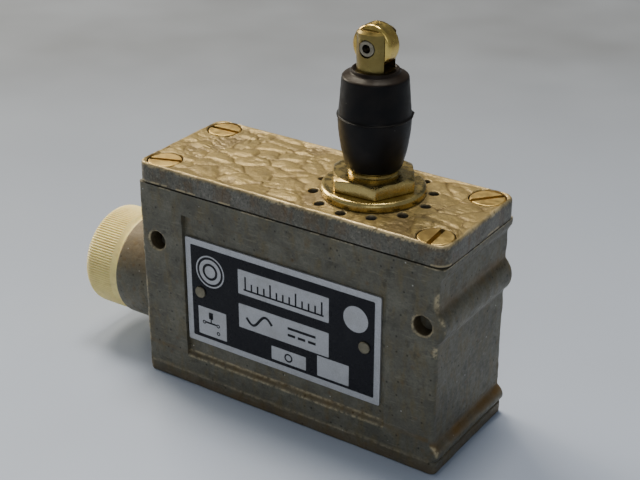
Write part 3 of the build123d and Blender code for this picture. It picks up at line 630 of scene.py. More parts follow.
def boot_rubber(colour):
    """Black moulded rubber: satin, brownish patches, a painted brownish sheen on the upper shoulder, and dust.
    """
    m = Nodes("boot_finish", 0.42, 0.0, 0.15)
    base = m.patches(colour, (0.012, 0.009, 0.007), m.noise(4.0, 4.0, seed=3.0), 0.4, 0.7, 0.7)
    base = m.specks(base, (0.22, 0.21, 0.19), 2.6, 5.0, 0.02, 0.05, 0.4)
    # painted brownish sheen of the light from above on the upper shoulder
    base = m.mix(m.attribute("top"), base, (0.018, 0.012, 0.008))
    return m.done(base, m.gloss(1.5, 0.30, 0.50, seed=7.0), m.bump(m.noise(0.4, 4.0, seed=1.0), 0.2, 0.03))


def plain_metal(name, colour, roughness=0.35):
    """Machined or plated metal: mottled colour, small scratches, uneven gloss."""
    m = Nodes(name, roughness, 1.0)
    base = m.mix(m.remap(m.noise(2.0, 4.0), 0.35, 0.65), shade(colour, 0.75), shade(colour, 1.1))
    rough = m.gloss(0.8, roughness - 0.1, roughness + 0.12, 3.0, 4.0)
    return m.done(base, rough, m.bump(m.noise(0.5, 3.0, seed=2.0), 0.2, 0.02))


def plain_dull(name, colour, roughness=0.6):
    """Rubber, board or phenolic: uneven dark colour with a fine grain."""
    m = Nodes(name, roughness)
    base = m.mix(m.remap(m.noise(2.5, 4.0), 0.35, 0.65), shade(colour, 0.7), shade(colour, 1.3))
    rough = m.gloss(0.8, roughness - 0.1, roughness + 0.1, 3.0, 4.0)
    return m.done(base, rough, m.bump(m.noise(0.4, 3.0, seed=2.0), 0.3, 0.03))


def plate_metal(colour):
    """Bare, finely etched aluminium of the name plate."""
    m = Nodes("plate_metal", 0.42, 0.55)
    base = m.mix(m.remap(m.noise(0.25, 3.0), 0.3, 0.7), shade(colour, 0.85), shade(colour, 1.12))
    base = m.patches(base, (0.24, 0.22, 0.18), m.noise(3.0, 4.0, seed=5.0), 0.5, 0.75, 0.3)
    scratch = m.noise(0.5, 2.0, stretch=(1, 1, 14), seed=3.0)
    base = m.patches(base, (0.7, 0.7, 0.7), scratch, 0.62, 0.7, 0.35)
    return m.done(base, m.gloss(0.6, 0.36, 0.5, 3.0, 1.0), m.bump(m.noise(0.2, 3.0), 0.2, 0.015))


def plate_ink(colour):
    """Smooth black print with faint dust and rubbed spots."""
    m = Nodes("plate_ink", 0.28, 0.0, 0.15)
    base = m.specks(colour, (0.4, 0.4, 0.42), 0.9, 4.0, 0.03, 0.09, 0.12)
    base = m.patches(base, (0.03, 0.03, 0.033), m.noise(4.0, 4.0), 0.5, 0.8, 0.25)
    return m.done(base, m.gloss(1.4, 0.20, 0.38, seed=2.0), m.bump(m.noise(0.5, 3.0), 0.08, 0.01))


# ---------------------------------------------------------------- the castings
CAVITY_SHARE = 0.2
END_INSET = 1.1
RECESS = (-27.4, 26.4, 8.6, 43.9)
RECESS_DEPTH = 1.0
LEDGE_Z = 7.6
FLOOR_T = 3.0
BORE_MOUTH = 8.0


def end_profile(z):
    """How far out the right end stands at each height: a plinth, a rounded bead, the wall, the round
    bar of the mounting boss, and a rim that flares out under the cover, joined by soft corners."""
    wall = np.full(len(z), HALF_L - END_INSET)
    plinth = np.where(z < 2.9, HALF_L - 0.3, -1e3)
    bead = HALF_L - 1.7 + np.sqrt(np.clip(2.1**2 - (z - 4.9) ** 2, 0, None))
    bead = np.where(np.abs(z - 4.9) < 2.1, bead, -1e3)
    boss = FIXING_X + np.sqrt(np.clip(BOSS_R**2 - (z - HOLE_Z) ** 2, 0, None))
    boss = np.where(np.abs(z - HOLE_Z) < BOSS_R, boss, -1e3)
    rim = HALF_L - END_INSET * (1 - ease(z, JOINT_Z - 3.4, JOINT_Z - 1.0))
    out = soft_max(soft_max(wall, bead, 0.35), boss, 0.4)
    return np.maximum(np.maximum(out, plinth), rim)


def build_housing(material, roughness):
    """The housing as one grid that starts in the middle of the base, runs out and up the sides, in
    over the open rim and down the inside to the floor. The end wall's profile shifts the columns near
    it along X, the recess sinks part of the front, and two round holes are bridged to the back."""
    step = 0.42
    left, right, bottom, top = RECESS
    corner = 1.1
    front_x = graded([-(HALF_L - corner), left, right, HALF_L - corner], step)
    skin = Skin(HALF_L, HALF_W, corner, front_x, step, 6)
    columns = skin.columns
    side_z = graded([0.5, LEDGE_Z, bottom, top, JOINT_Z], step, 0.04)
    rows = [(skin.inset(share), 0.0, 0) for share in (1.0, 0.75, 0.5, 0.25, 0.1, 0.05, 0.02)]
    rows += [(skin.inset(0.012 - 0.03 * z), z, 1) for z in (0.12, 0.3)]
    rows += [(skin.outer, z, 1) for z in side_z]
    rows += [(skin.inset(share), JOINT_Z, 2) for share in (0.06, CAVITY_SHARE)]
    rows += [(skin.inset(CAVITY_SHARE), z, 3) for z in (40.0, 30.0, 20.0, 10.0, FLOOR_T)]
    rows += [(skin.inset(share), FLOOR_T, 3) for share in (0.5, 1.0)]
    count = len(rows)
    x, y, z, kind = skin.stack(rows)
    on_side = kind == 1

    # the right end: columns near it move along X to its profile
    near = ease(x, 26.0, HALF_L - corner) * (kind < 3)
    x += (end_profile(z.ravel()).reshape(z.shape) - HALF_L) * near
    # slight draft of the gland end
    x += 0.35 * ease(-x, 30.0, HALF_L) * (0.5 - z / JOINT_Z) * (kind < 3)

    front = np.zeros((count, columns), bool)
    front[:, : skin.front] = True
    front &= on_side

    # recess, with a sloped lower edge
    inside_x = (skin.outer[:, 0] > left) & (skin.outer[:, 0] < right)
    slope = np.clip((z - LEDGE_Z) / (bottom - LEDGE_Z), 0, 1)
    deep = RECESS_DEPTH * np.where(z < top, slope, 0.0)
    y += np.where(front & inside_x[None], deep, 0.0)

    points = np.stack([x, y, z], -1).reshape(-1, 3)
    flat_side = on_side.ravel()
    # cast roughness: two sizes of noise pushed out along the outline's normal, and wobbling corners
    outward = np.tile(skin.normal, (count, 1))
    rough = roughness * (0.9 * layered(points, 2.4, 21, 2) + 1.3 * layered(points, 9.0, 31, 2))
    corner_share = np.abs(np.sin(2 * skin.angle))
    edge_wobble = 0.10 * layered(points, 3.0, 41, 2) * np.tile(corner_share > 0.1, count)
    # the mould's parting line, low on the front: a step and a thin ragged ridge
    on_front = front.ravel()
    line_z = 3.0 + 0.25 * waves(points * [1, 0, 0], 7.0, 5)
    ridge = 0.16 * band(points[:, 2], line_z, 0.28) * (0.6 + 0.4 * waves(points, 1.3, 9))
    below = 0.16 * (1 - ease(points[:, 2], line_z - 0.2, line_z + 0.2))
    low = np.where(on_front, ridge + below * 0.7, 0.0)
    keep_flush = ease(JOINT_Z - points[:, 2], -0.1, 0.8)
    back_flat = np.where(np.abs(outward[:, 1] - 1) < 1e-6, 0.15, 1.0)
    push = (rough + edge_wobble) * back_flat * (0.35 + 0.65 * keep_flush) + low - 0.03
    points[:, :2] += outward * np.where(flat_side, push, 0.0)[:, None]
    on_base = (kind == 0).ravel() & (np.abs(points[:, 0]) < 38)
    points[:, 2] += np.where(on_base, 0.03 * (1 + waves(points, 3.0, 77)), 0.0)

    index = np.arange(count * columns).reshape(count, columns)
    mirrored = np.where(skin.across[None] >= 0, index[:, np.clip(skin.across, 0, None)], -1).ravel()

    # attributes: worn edges, painted highlights on the recess ledge's two edges, and brown stain in the
    # corners
    pz = points[:, 2]
    worn = 0.75 * np.tile(ease(corner_share, 0.15, 0.9), count) * flat_side
    worn *= ease(layered(points, 3.0, 61, 3), 0.0, 0.35)
    # painted highlight along the two edges of the sloped ledge under the recess, laid into the wear
    ledge_highlight = 0.6 * np.where(on_front, band(pz, LEDGE_Z, 0.14) + band(pz, bottom, 0.14), 0.0)
    ledge_highlight *= np.tile(inside_x, count)
    rim_top = 0.7 * np.where(flat_side, band(pz, JOINT_Z, 0.18), 0.0) * (waves(points, 4.0, 51) > 0.0)
    parting = 0.35 * np.where(on_front, band(pz, line_z, 0.25), 0.0)
    wear = np.clip(np.maximum.reduce([worn, ledge_highlight, rim_top, parting]), 0, 1)
    right_end = np.tile(ease(np.cos(skin.angle), 0.02, 0.95) > 0.3, count) & flat_side
    stain = np.maximum.reduce([
        np.where(right_end, 0.9 * band(pz, 6.6, 1.1), 0.0),
        np.where(right_end, 0.45 * band(pz, HOLE_Z + 4.4, 1.3), 0.0),
        np.where(flat_side, (1 - ease(pz, 1.0, 4.5)) * 0.35, 0.0),
        np.where(on_front & (pz > 7.8) & (pz < 8.7), 0.35, 0.0)])
    stain = np.clip(stain * np.clip(0.75 + 0.5 * layered(points, 3.0, 71, 2), 0, 1.2), 0, 1)

    # the last attribute holds painted shade down the bores, set on the holes' circles
    shell = Shell(points, grid_quads(count, columns), {"wear": wear, "stain": stain, "painted_bore_shade": 0 * wear})
    for cx in (-FIXING_X, FIXING_X):
        reach = np.hypot(points[:, 0] - cx, points[:, 2] - HOLE_Z)
        inside = (reach < HOLE_R + 0.3) & on_front
        levels = [(HOLE_R + 0.42, 1, 0.02), (HOLE_R + 0.16, 1, 0.2), (HOLE_R, 1, 0.5),
                  (HOLE_R, 1, BORE_MOUTH), (HOLE_R, -1, -BORE_MOUTH), (HOLE_R, -1, -0.3),
                  (HOLE_R + 0.3, -1, -0.02)]
        # wear, stain and painted shade of the bore for each circle
        marks = [(0.4, 0.2, 0), (0.8, 0.1, 0), (0.2, 0.6, 0.5), (0, 0.5, 1), (0, 0.5, 1), (0.3, 0.3, 0.5),
                 (0.3, 0.2, 0)]
        shell.hole(inside, np.array([cx, HOLE_Z]), [0, 2], 1, HOLE_R + 0.5, levels, mirrored, marks)
    points, faces, attributes = shell.build()
    piece = new_piece("housing_casting", points, faces, material, attributes=attributes)
    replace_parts(crease(piece, 48.0), "housing")
    return piece


def build_gland_boss(material, roughness):
    """The round boss for the gland, turned about X and roughened; its inner end sits in the wall."""
    end = float(CAP_HIGH[0]) - 6.1
    inner = -HALF_L + 0.6
    outer_r, bore_r, entry_r = 12.65, 10.2, 7.0
    corners = [(outer_r, inner), (outer_r, end), (bore_r, end), (bore_r, inner + 0.1), (entry_r, inner + 0.1),
               (entry_r, inner)]
    outline = smooth_profile(corners, [0, 0.7, 0.3, 0, 0, 0])
    steps = 150
    run = spread(inner, end + 0.7, 0.45)
    outline = np.concatenate([np.stack([np.full(len(run), outer_r), run], 1), outline[1:]])[::-1]
    points = turned_points(outline, steps, "x", (0, 0, GLAND_Z))
    radial = points - [0, 0, GLAND_Z]
    radial[:, 0] = 0
    length = np.linalg.norm(radial, axis=1)
    outside = length > 12.0
    push = roughness * (1.0 * layered(points, 2.4, 23, 2) + 1.6 * layered(points, 8.0, 33, 2)) - 0.04
    points += radial / length[:, None] * np.where(outside, push, 0)[:, None]
    wear = np.where(outside, 0.7 * band(points[:, 0], end, 0.35), 0)
    stain = np.where(outside, ease(points[:, 2], GLAND_Z + 2, GLAND_Z + 9), 0) * 0.35
    piece = new_piece(
        "gland_boss_casting", points, grid_quads(len(outline), steps, wrap_rows=True), material,
        attributes={"wear": wear, "stain": stain})
    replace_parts(crease(piece, 40.0), "housing")
    return piece


def cobbles(x, y, size):
    """Height in millimetres below the highest cobbles, and three shares from 0 to 1: how deep in a
    groove, how much of a low rough patch, and a tone of its own for each cobble. The cobbles are the
    cells of scattered points, longer in X, bent by noise, tilted a little each its own way, and rounded
    off towards the thin groove between them. Low patches have wrinkles instead."""
    at = np.stack([x, y, 0 * x], 1)
    wx = x + 1.5 * layered(at, 7.0, 101, 2) + 0.6 * waves(at, 2.3, 104)
    wy = y + 1.3 * layered(at + 50, 7.0, 103, 2) + 0.6 * waves(at + 50, 2.3, 105)
    first, second, off_x, off_y, own = cells(wx / 1.5, wy, size, 11)
    dome = 1 - (first / (0.5 * (first + second))) ** 3.2
    lean = own * np.pi * 3
    tilt = 0.10 * (off_x * np.cos(lean) + off_y * np.sin(lean))
    first_s, second_s, _, _, own_s = cells(wx / 1.3, wy + 3, size * 0.5, 17)
    dome_s = 1 - (first_s / (0.5 * (first_s + second_s))) ** 2.6
    split = ease(waves(at, 9.0, 107) + 0.5 * ease(x, 5.0, 30.0), 0.1, 0.45)
    patch = ease(layered(at + 9, 7.0, 113, 2) + 0.25 * ease(x, 10.0, 30.0), 0.38, 0.75)
    wrinkle = 1 - np.abs(layered(at * [1, 1.7, 1], 2.0, 115, 3))
    height = 0.75 * dome + 0.28 * own * dome + 0.45 * split * (dome_s - 0.8) + tilt
    height = height * (1 - 0.85 * patch) - 0.30 * patch + (0.22 + 0.35 * patch) * (wrinkle - 0.6)
    groove = np.clip(1 - (second - first) / 0.55, 0, 1) * (1 - 0.6 * patch)
    groove_s = np.clip(1 - (second_s - first_s) / 0.4, 0, 1) * split * 0.8
    tone = 0.5 + 0.5 * (own * (1 - split) + own_s * split)
    return 1 - height, np.maximum(groove, groove_s), patch, tone


def build_cover(material, roughness, cobble, cobble_size):
    """The cover as one grid: from the middle of its underside out, up its side, over a rounded edge
    and in to the middle of the top. The top carries the cobbles. Round recesses are sunk for the
    screws and the small holes round the head, and the hole for the bush goes right through."""
    step = 0.29
    corner = 2.6
    half_x = HALF_L + 0.1
    low, high = JOINT_Z + 0.4, float(COVER_HIGH[2])
    edge_r = 0.7
    side_rows = 11
    front_x = spread(-(half_x - corner), half_x - corner, step)
    skin = Skin(half_x, HALF_W, corner, front_x, step, 14)
    columns = skin.columns
    shares = np.concatenate([[0.0, 0.006, 0.016, 0.03, 0.046], spread(0.066, 1.0, step / HALF_W)])
    rows = [(skin.inset(share), low, 0) for share in shares[::-1]]
    rows += [(skin.outer, z, 1) for z in np.linspace(low + 0.25, high - edge_r, side_rows)]
    rows += [(skin.inset(share), high, 2) for share in shares]
    count = len(rows)
    x, y, z, kind = skin.stack(rows)
    points, kind = np.stack([x, y, z], -1).reshape(-1, 3), kind.ravel()
    share = np.repeat(np.concatenate([shares[::-1], np.zeros(side_rows), shares]), columns)
    from_edge = share * np.tile(np.linalg.norm(skin.outer - skin.middle, axis=1), count)
    on_top = kind == 2
    rounding = edge_r - np.sqrt(np.clip(edge_r**2 - np.clip(edge_r - from_edge, 0, edge_r) ** 2, 0, None))
    points[:, 2] -= np.where(on_top, rounding, 0)

    depth, groove, patch, tone = cobbles(points[:, 0], points[:, 1], cobble_size)
    # the relief fades at the edge, under the head's washer and along the ring of small holes
    fade = ease(from_edge, 0.4, 2.4)
    from_head = np.hypot(points[:, 0] - HEAD_X, points[:, 1])
    seat = ease(from_head, 11.0, 12.6)
    calm = ease(np.abs(from_head - INDEX_RING_R), 0.9, 3.2)
    drop = cobble * (depth * (0.35 + 0.65 * calm) + 0.3 * (1 - calm))
    drop *= (0.4 + 0.6 * fade) * (0.2 + 0.8 * seat)
    drop = np.clip(drop, -0.05, None) * ease(from_edge, 0.5, 1.2)
    points[:, 2] -= np.where(on_top & (from_edge > 0.5), drop, 0)
    outward = np.tile(skin.normal, (count, 1))
    rough = roughness * (1.0 * layered(points, 2.2, 121, 2) + 1.7 * layered(points, 8.0, 131, 2)) - 0.02
    nick = 0.10 * layered(points, 1.8, 141, 2) * band(points[:, 2], high - 0.3, 0.5)
    back_flat = np.where(np.abs(outward[:, 1] - 1) < 1e-6, 0.2, 1.0)
    side_push = np.where((kind == 1) | (on_top & (from_edge < 0.8)), (rough + nick) * back_flat, 0)
    points[:, :2] += outward * side_push[:, None]

    below = np.arange(count * columns).reshape(count, columns)[::-1].ravel()
    upper_edge = band(from_edge, 0.25, 0.34) * on_top * (0.55 + 0.45 * waves(points, 5.0, 151))
    lower_edge = np.where(kind == 1, band(points[:, 2], low + 0.1, 0.25), 0) * (waves(points, 5.0, 161) > 0.1)
    # groove holds the painted shade in the grooves between the cobbles
    shell = Shell(points, grid_quads(count, columns), {
        "wear": np.clip(np.maximum(upper_edge, 0.6 * lower_edge), 0, 1),
        "stain": np.where(kind == 1, 0.3 * (layered(points, 4.0, 171, 2) > 0.35), 0),
        "groove": np.where(on_top, groove, 0),
        "top": np.where(on_top, ease(from_edge, -0.2, 0.5), 0.0),
        "patch": np.where(on_top, patch, 0),
        "tone": tone})

    def sink(cx, cy, radius, mouth, levels, marks, through=None):
        """A round hole in the top; marks are wear, stain, groove, top, patch and tone of each circle."""
        reach = np.hypot(points[:, 0] - cx, points[:, 1] - cy)
        shell.hole((reach < radius) & on_top, np.array([cx, cy]), [0, 1], 2, mouth, levels, through, marks)

    # screw recesses: their walls' groove and stain marks paint shade down them
    for cx in (-FIXING_X, FIXING_X):
        for cy in (-SCREW_Y, SCREW_Y):
            sink(cx, cy, 4.13, 4.2,
                 [(4.15, 1, -0.12), (4.13, 0, high - 0.6), (4.13, 0, high - 2.9), (2.6, 0, high - 2.9)],
                 [(0.5, 0.2, 0, 1, 0, 0.5), (0.1, 0.7, 0.6, 0.6, 0, 0.5), (0, 0.9, 1, 0.2, 0, 0),
                  (0, 0.9, 1, 0.2, 0, 0)])
    # small holes round the head: their walls' groove marks paint shade down the walls
    for turn in np.arange(INDEX_HOLES) * np.pi / 6:
        sink(HEAD_X + INDEX_RING_R * np.cos(turn), INDEX_RING_R * np.sin(turn), 1.25, 1.34,
             [(1.28, 1, -0.02), (1.17, 1, -0.12), (1.14, 0, high - 0.8), (1.12, 0, high - 2.5),
              (0.6, 0, high - 2.6)],
             [(0.1, 0, 0.2, 1, 0, 0.5), (0.1, 0.1, 0.5, 0.5, 0, 0.5), (0, 0, 0.6, 0, 0, 0),
              (0, 0.3, 1, 0, 0, 0), (0, 0.5, 1, 0, 0, 0)])
    sink(HEAD_X, 0.0, 6.3, 6.3, [(BUSH_HOLE_R, 1, 0.0), (BUSH_HOLE_R, -1, 0.0)], None, below)
    points, faces, attributes = shell.build()
    piece = new_piece("cover_casting", points, faces, material, attributes=attributes)
    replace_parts(crease(piece, 50.0), "cover")
    return piece


# ---------------------------------------------------------------- the head
def build_flange(material):
    """Turned washer with rounded rims and a top that falls a little towards the hole."""
    r = float(FLANGE_HIGH[0]) - HEAD_X
    z0, z1 = float(FLANGE_LOW[2]), float(FLANGE_HIGH[2])
    corners = [(BUSH_HOLE_R, z0), (r - 0.15, z0), (r, z0 + 0.25), (r, z1 - 0.55), (r - 0.55, z1),
               (r - 1.6, z1 - 0.02), (BUSH_HOLE_R, z1 - 0.06)]
    outline = smooth_profile(corners, [0, 0.1, 0.2, 0.3, 0.3, 0.3, 0])
    piece = crease(turned_piece("head_washer", outline, 144, "z", (HEAD_X, 0, 0), material), 35.0)
    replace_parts(piece, "flange_washer")
    return piece


def build_bush(material, turn):
    """Guide bush: a closed outline of radii and heights carried round the axis. Over the hexagon's
    rows the radius is the distance to the hexagon's side at each angle, its corners eased, and the
    height falls away on a 30 degree cone towards the corners."""
    half = HEX_HALF
    z0 = float(FLANGE_HIGH[2]) - 0.04
    z_hex = 59.3
    z_top = float(BUSH_HIGH[2])
    z_bottom = float(BUSH_LOW[2])
    steps = 288
    angle = np.arange(steps) * 2 * np.pi / steps
    local = (angle - turn + np.pi / 6) % (np.pi / 3) - np.pi / 6
    side = half / np.cos(np.pi / 6 - np.abs(local))
    hexagon = -np.log(np.exp(-side * 9) + np.exp(-(half / np.cos(np.pi / 6) - 0.12) * 9)) / 9
    # every row is a radius for each angle, and a height
    bottom_rim = ((3.03, z_bottom), (5.4, z_bottom), (6.0, z_bottom + 0.6), (6.0, z0))
    rows = [(np.full(steps, r), np.full(steps, z)) for r, z in bottom_rim]
    cone_start = half * 0.99
    rows += [(hexagon - inset, np.full(steps, z0 + lift)) for inset, lift in ((0.18, 0.0), (0.0, 0.16))]
    drop = np.clip(hexagon - cone_start, 0, None) * CONE_SLOPE
    for inset, blend in ((0.0, 0.22), (0.05, 0.08), (0.18, 0.0)):
        rows.append((hexagon - inset, z_hex - np.clip(drop - inset * CONE_SLOPE, 0, None) - blend))
    for share in (0.6, 0.25, 0.0):
        r = cone_start + (hexagon - 0.18 - cone_start) * share
        rows.append((r, z_hex - np.clip(r - cone_start, 0, None) * CONE_SLOPE))
    # above the hexagon: a step, the neck, the boot's groove and the top rim
    neck = ((6.9, 0), (5.6, 0), (5.4, 0.15), (5.35, 0.45), (5.5, 0.6), (5.5, 0.8), (5.3, 0.95), (5.3, 1.65),
            (4.7, 1.65), (4.7, 2.75), (5.3, 2.75))
    top_rim = ((5.3, z_top - 0.3), (5.0, z_top), (3.03, z_top))
    for r, z in [(r, z_hex + rise) for r, rise in neck] + list(top_rim):
        rows.append((np.full(steps, r), np.full(steps, z)))
    radius, height = (np.stack(part) for part in zip(*rows))
    points = np.stack([HEAD_X + radius * np.cos(angle), radius * np.sin(angle), height], -1).reshape(-1, 3)
    piece = new_piece("head_bush", points, grid_quads(len(rows), steps, wrap_rows=True), material)
    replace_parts(crease(piece, 22.0), "guide_bush")
    return piece


def build_boot(material):
    """Barrel-shaped rubber boot: a closed outline through the measured radii, with a thin flash line
    round the ridge, a shallow cone on top and a collar round the fork."""
    z0, z1 = float(BOOT_LOW[2]), float(BOOT_HIGH[2])
    outside_z = np.array([61.1, 62.0, 64.0, 66.1, 69.0, 71.75])
    outside_r = np.array([6.1, 6.42, 6.95, 7.3, 7.7, 7.85])
    z_low = np.linspace(61.1, 71.75, 26)
    r_low = np.interp(z_low, outside_z, outside_r)
    r_low = np.convolve(np.pad(r_low, 2, "edge"), np.ones(5) / 5, "valid")
    z_high = np.linspace(72.3, 80.0, 20)
    r_high = np.interp(z_high, [72.3, 73.2, 75.0, 79.3, 80.0], [7.72, 7.62, 7.45, 7.12, 7.05])
    flash_line = [[8.03, 71.9], [8.05, 72.08], [7.8, 72.2]]
    body = np.concatenate([np.stack([r_low, z_low], 1), flash_line, np.stack([r_high, z_high], 1)])
    top = [[6.98, 80.3], [6.8, 80.55], [6.5, 80.7], [5.6, 81.15], [5.25, 81.3], [5.12, 81.5], [5.1, 81.8],
           [4.95, z1], [4.62, z1], [4.45, 81.75], [4.05, 81.6]]
    inside = [[4.05, 79.9], [5.15, 79.9], [5.7, 78.2], [6.2, 75.0], [6.4, 71.5], [6.1, 67.5], [5.4, 63.4],
              [5.35, z0], [5.75, z0], [5.95, 60.7]]
    outline = np.concatenate([body, top, inside])
    steps = 128
    points = turned_points(outline, steps, "z", (HEAD_X, 0, 0))
    angle = np.tile(np.arange(steps) * 2 * np.pi / steps, len(outline))
    flash = (np.abs(points[:, 2] - 71.99) < 0.2) & (np.hypot(points[:, 0] - HEAD_X, points[:, 1]) > 7.95)
    round_about = np.stack([np.cos(angle) * 6, np.sin(angle) * 6, 0 * angle], 1)
    ragged = -0.10 * (0.5 + 0.5 * waves(round_about, 1.4, 3))
    ragged += 0.28 * np.exp(-(((angle - np.radians(38)) / 0.09) ** 2))
    radial = points - [HEAD_X, 0, 0]
    radial[:, 2] = 0
    radial /= np.linalg.norm(radial, axis=1)[:, None]
    soft = 0.03 * layered(points, 5.0, 201, 2) - 0.03
    outer = np.repeat(np.arange(len(outline)) < len(body), steps)
    points += radial * np.where(flash, ragged, np.where(outer, soft, 0))[:, None]
    row = np.arange(len(outline))
    # the top rows, where the painted sheen goes
    painted_sheen_share = np.repeat((row >= len(body) + 1) & (row < len(body) + len(top)), steps)
    piece = new_piece(
        "rubber_boot", points, grid_quads(len(outline), steps, wrap_rows=True), material,
        attributes={"top": painted_sheen_share * 1.0})
    crease(piece, 40.0)
    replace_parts(piece, "boot")
    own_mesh(piece)
    return piece


def build_roller(material):
    """Roller turned about Y: rounded rims, a slightly hollowed face and fine rings on its tread."""
    low, high = float(ROLLER_LOW[1]), float(ROLLER_HIGH[1])
    radius = float(ROLLER_HIGH[2] - ROLLER_LOW[2]) / 2
    centre = (HEAD_X, 0, float(ROLLER_LOW[2]) + radius)
    bore = 1.55
    tread_y = np.linspace(low + 0.75, high - 0.75, 31)
    tread_r = radius - 0.03 + 0.025 * np.cos(tread_y * 2 * np.pi / 0.42)
    rim = np.linspace(0, np.pi / 2, 8)[1:]
    lower_rim = np.stack([radius - 0.75 + 0.75 * np.sin(rim), low + 0.75 - 0.75 * np.cos(rim)], 1)
    upper_rim = np.stack([radius - 0.75 + 0.75 * np.cos(rim), high - 0.75 + 0.75 * np.sin(rim)], 1)
    face_low = [[bore, low + 0.1], [2.2, low], [2.3, low + 0.14], [3.2, low + 0.14], [3.32, low]]
    face_high = [[3.32, high], [3.2, high - 0.14], [2.3, high - 0.14], [2.2, high], [bore, high - 0.1]]
    outline = np.concatenate([face_low, lower_rim, np.stack([tread_r, tread_y], 1), upper_rim, face_high])
    piece = turned_piece("roller_wheel", outline, 128, "y", centre, material, "roller")
    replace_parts(crease(piece, 30.0), "roller")
    return piece


def coil_points(radius, wire, z0, z1, turns, per_turn=28, around=10):
    """Round wire along a helix: a small circle carried along the helix, square to its direction, with
    the pitch closed up over the first and last turn."""
    t = np.linspace(0, 1, int(turns * per_turn) + 1)
    angle = t * turns * 2 * np.pi
    ends = 1.0 / turns
    rise = np.clip(t / ends, 0, 1) * 0.5 * wire
    rise += np.clip((t - ends) / (1 - 2 * ends), 0, 1) * (z1 - z0 - 3 * wire)
    rise += np.clip((t - 1 + ends) / ends, 0, 1) * 0.5 * wire
    centre = np.stack([radius * np.cos(angle), radius * np.sin(angle), z0 + wire + rise], 1)
    tangent = np.gradient(centre, axis=0)
    tangent /= np.linalg.norm(tangent, axis=1)[:, None]
    out = np.stack([np.cos(angle), np.sin(angle), 0 * angle], 1)
    up = np.cross(tangent, out)
    phi = np.arange(around) * 2 * np.pi / around
    ring = wire * (np.cos(phi)[None, :, None] * out[:, None] + np.sin(phi)[None, :, None] * up[:, None])
    return centre[:, None] + ring, centre


def build_spring(name, node, radius, wire, ends, turns, stroke_mm, body, material):
    """A coil spring with closed ends; its stroke is not used."""
    z0, z1 = ends
    tube, centre = coil_points(radius, wire, z0, z1, turns)
    rows, around = tube.shape[:2]
    points = np.concatenate([tube.reshape(-1, 3), centre[[0, -1]]]) + [HEAD_X, 0, 0]
    faces = [tuple(q) for q in grid_quads(rows, around)]
    ring = np.arange(around)
    first, last = rows * around, rows * around + 1
    faces += [(first, (n + 1) % around, n) for n in ring]
    faces += [(last, (rows - 1) * around + n, (rows - 1) * around + (n + 1) % around) for n in ring]
    piece = new_piece(name, points, faces, material, body=body)
    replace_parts(piece, node)
    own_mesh(piece)
    return piece


# ---------------------------------------------------------------- the gland cap
def build_cap(material, ribs):
    """Pressure screw of the gland: a closed outline about X. Over the grip rows the radius dips
    between the ribs as a rounded saw of the angle."""
    shoulder = float(CAP_HIGH[0]) - 6.1
    far = float(CAP_LOW[0])
    inner = float(CAP_HIGH[0])
    # radius, place along X, and depth of the ribs' grooves: the collar, the grip, the entry
    collar = ((11.9, -0.04), (12.15, -0.15), (12.15, -0.4), (11.7, -0.6), (11.6, -0.8), (11.75, -1.2),
              (12.2, -1.75))
    rows = [(10.1, inner, 0), (10.1, shoulder - 0.02, 0)]
    rows += [(r, shoulder + x, 0) for r, x in collar] + [(12.35, shoulder - 1.95, 0.2)]
    rows += [(12.45, x, 1.0) for x in np.linspace(shoulder - 2.2, far + 1.6, 9)]
    rows += [(r, far + x, depth) for r, x, depth in (
        (12.36, 1.1, 0.85), (12.1, 0.6, 0.6), (11.7, 0.25, 0.25), (11.2, 0.06, 0), (10.6, 0, 0), (9.6, 0, 0),
        (9.3, 0.5, 0), (7.3, 0.55, 0), (6.85, 0.7, 0), (6.55, 1.1, 0))]
    rows += [(6.5, shoulder - 0.55, 0), (7.1, shoulder - 0.5, 0), (7.1, inner, 0)]
    table = np.array(rows)
    per_rib = 6
    steps = ribs * per_rib
    angle = np.arange(steps) * 2 * np.pi / steps
    saw = 0.5 - 0.5 * np.cos(angle * ribs)
    radius = table[:, :1] - 0.30 * table[:, 2:] * saw[None] ** 1.5
    along = np.repeat(table[:, 1:2], steps, 1)
    points = np.stack([along, radius * np.cos(angle), radius * np.sin(angle)], -1).reshape(-1, 3)
    points += [0, 0, GLAND_Z]
    # how deep in a rib's groove, for the painted shade in the grooves
    groove = (table[:, 2:] * saw[None]).ravel()
    faces = grid_quads(len(table), steps, wrap_rows=True)
    piece = new_piece(
        "gland_pressure_screw", points, faces, material, body="gland_cap", attributes={"groove": groove})
    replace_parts(crease(piece, 42.0), "gland_cap")
    return piece


# ---------------------------------------------------------------- the name plate
def oblong(x0, z0, x1, z1, corner=0.15, steps=4):
    """A rectangle with small round corners, as (x, z) points going round."""
    turn = np.linspace(0, np.pi / 2, steps)
    made = []
    left, right, low, high = x0 + corner, x1 - corner, z0 + corner, z1 - corner
    for n, (cx, cz) in enumerate([(right, high), (left, high), (left, low), (right, low)]):
        a = turn + n * np.pi / 2
        made.append(np.stack([cx + corner * np.cos(a), cz + corner * np.sin(a)], 1))
    return np.concatenate(made)


def round_mark(cx, cz, r, steps=48):
    """A full circle."""
    a = np.arange(steps) * 2 * np.pi / steps
    return np.stack([cx + r * np.cos(a), cz + r * np.sin(a)], 1)


def ring_mark(cx, cz, outer, inner, steps=48):
    """A ring, as its outer and inner circle."""
    return round_mark(cx, cz, outer, steps), round_mark(cx, cz, inner, steps)


def stroke(x0, z0, x1, z1, width):
    """A straight bar between two points."""
    d = np.array([x1 - x0, z1 - z0], float)
    n = np.array([-d[1], d[0]]) / np.linalg.norm(d) * width / 2
    a, b = np.array([x0, z0]), np.array([x1, z1])
    return np.stack([a + n, a - n, b - n, b + n])


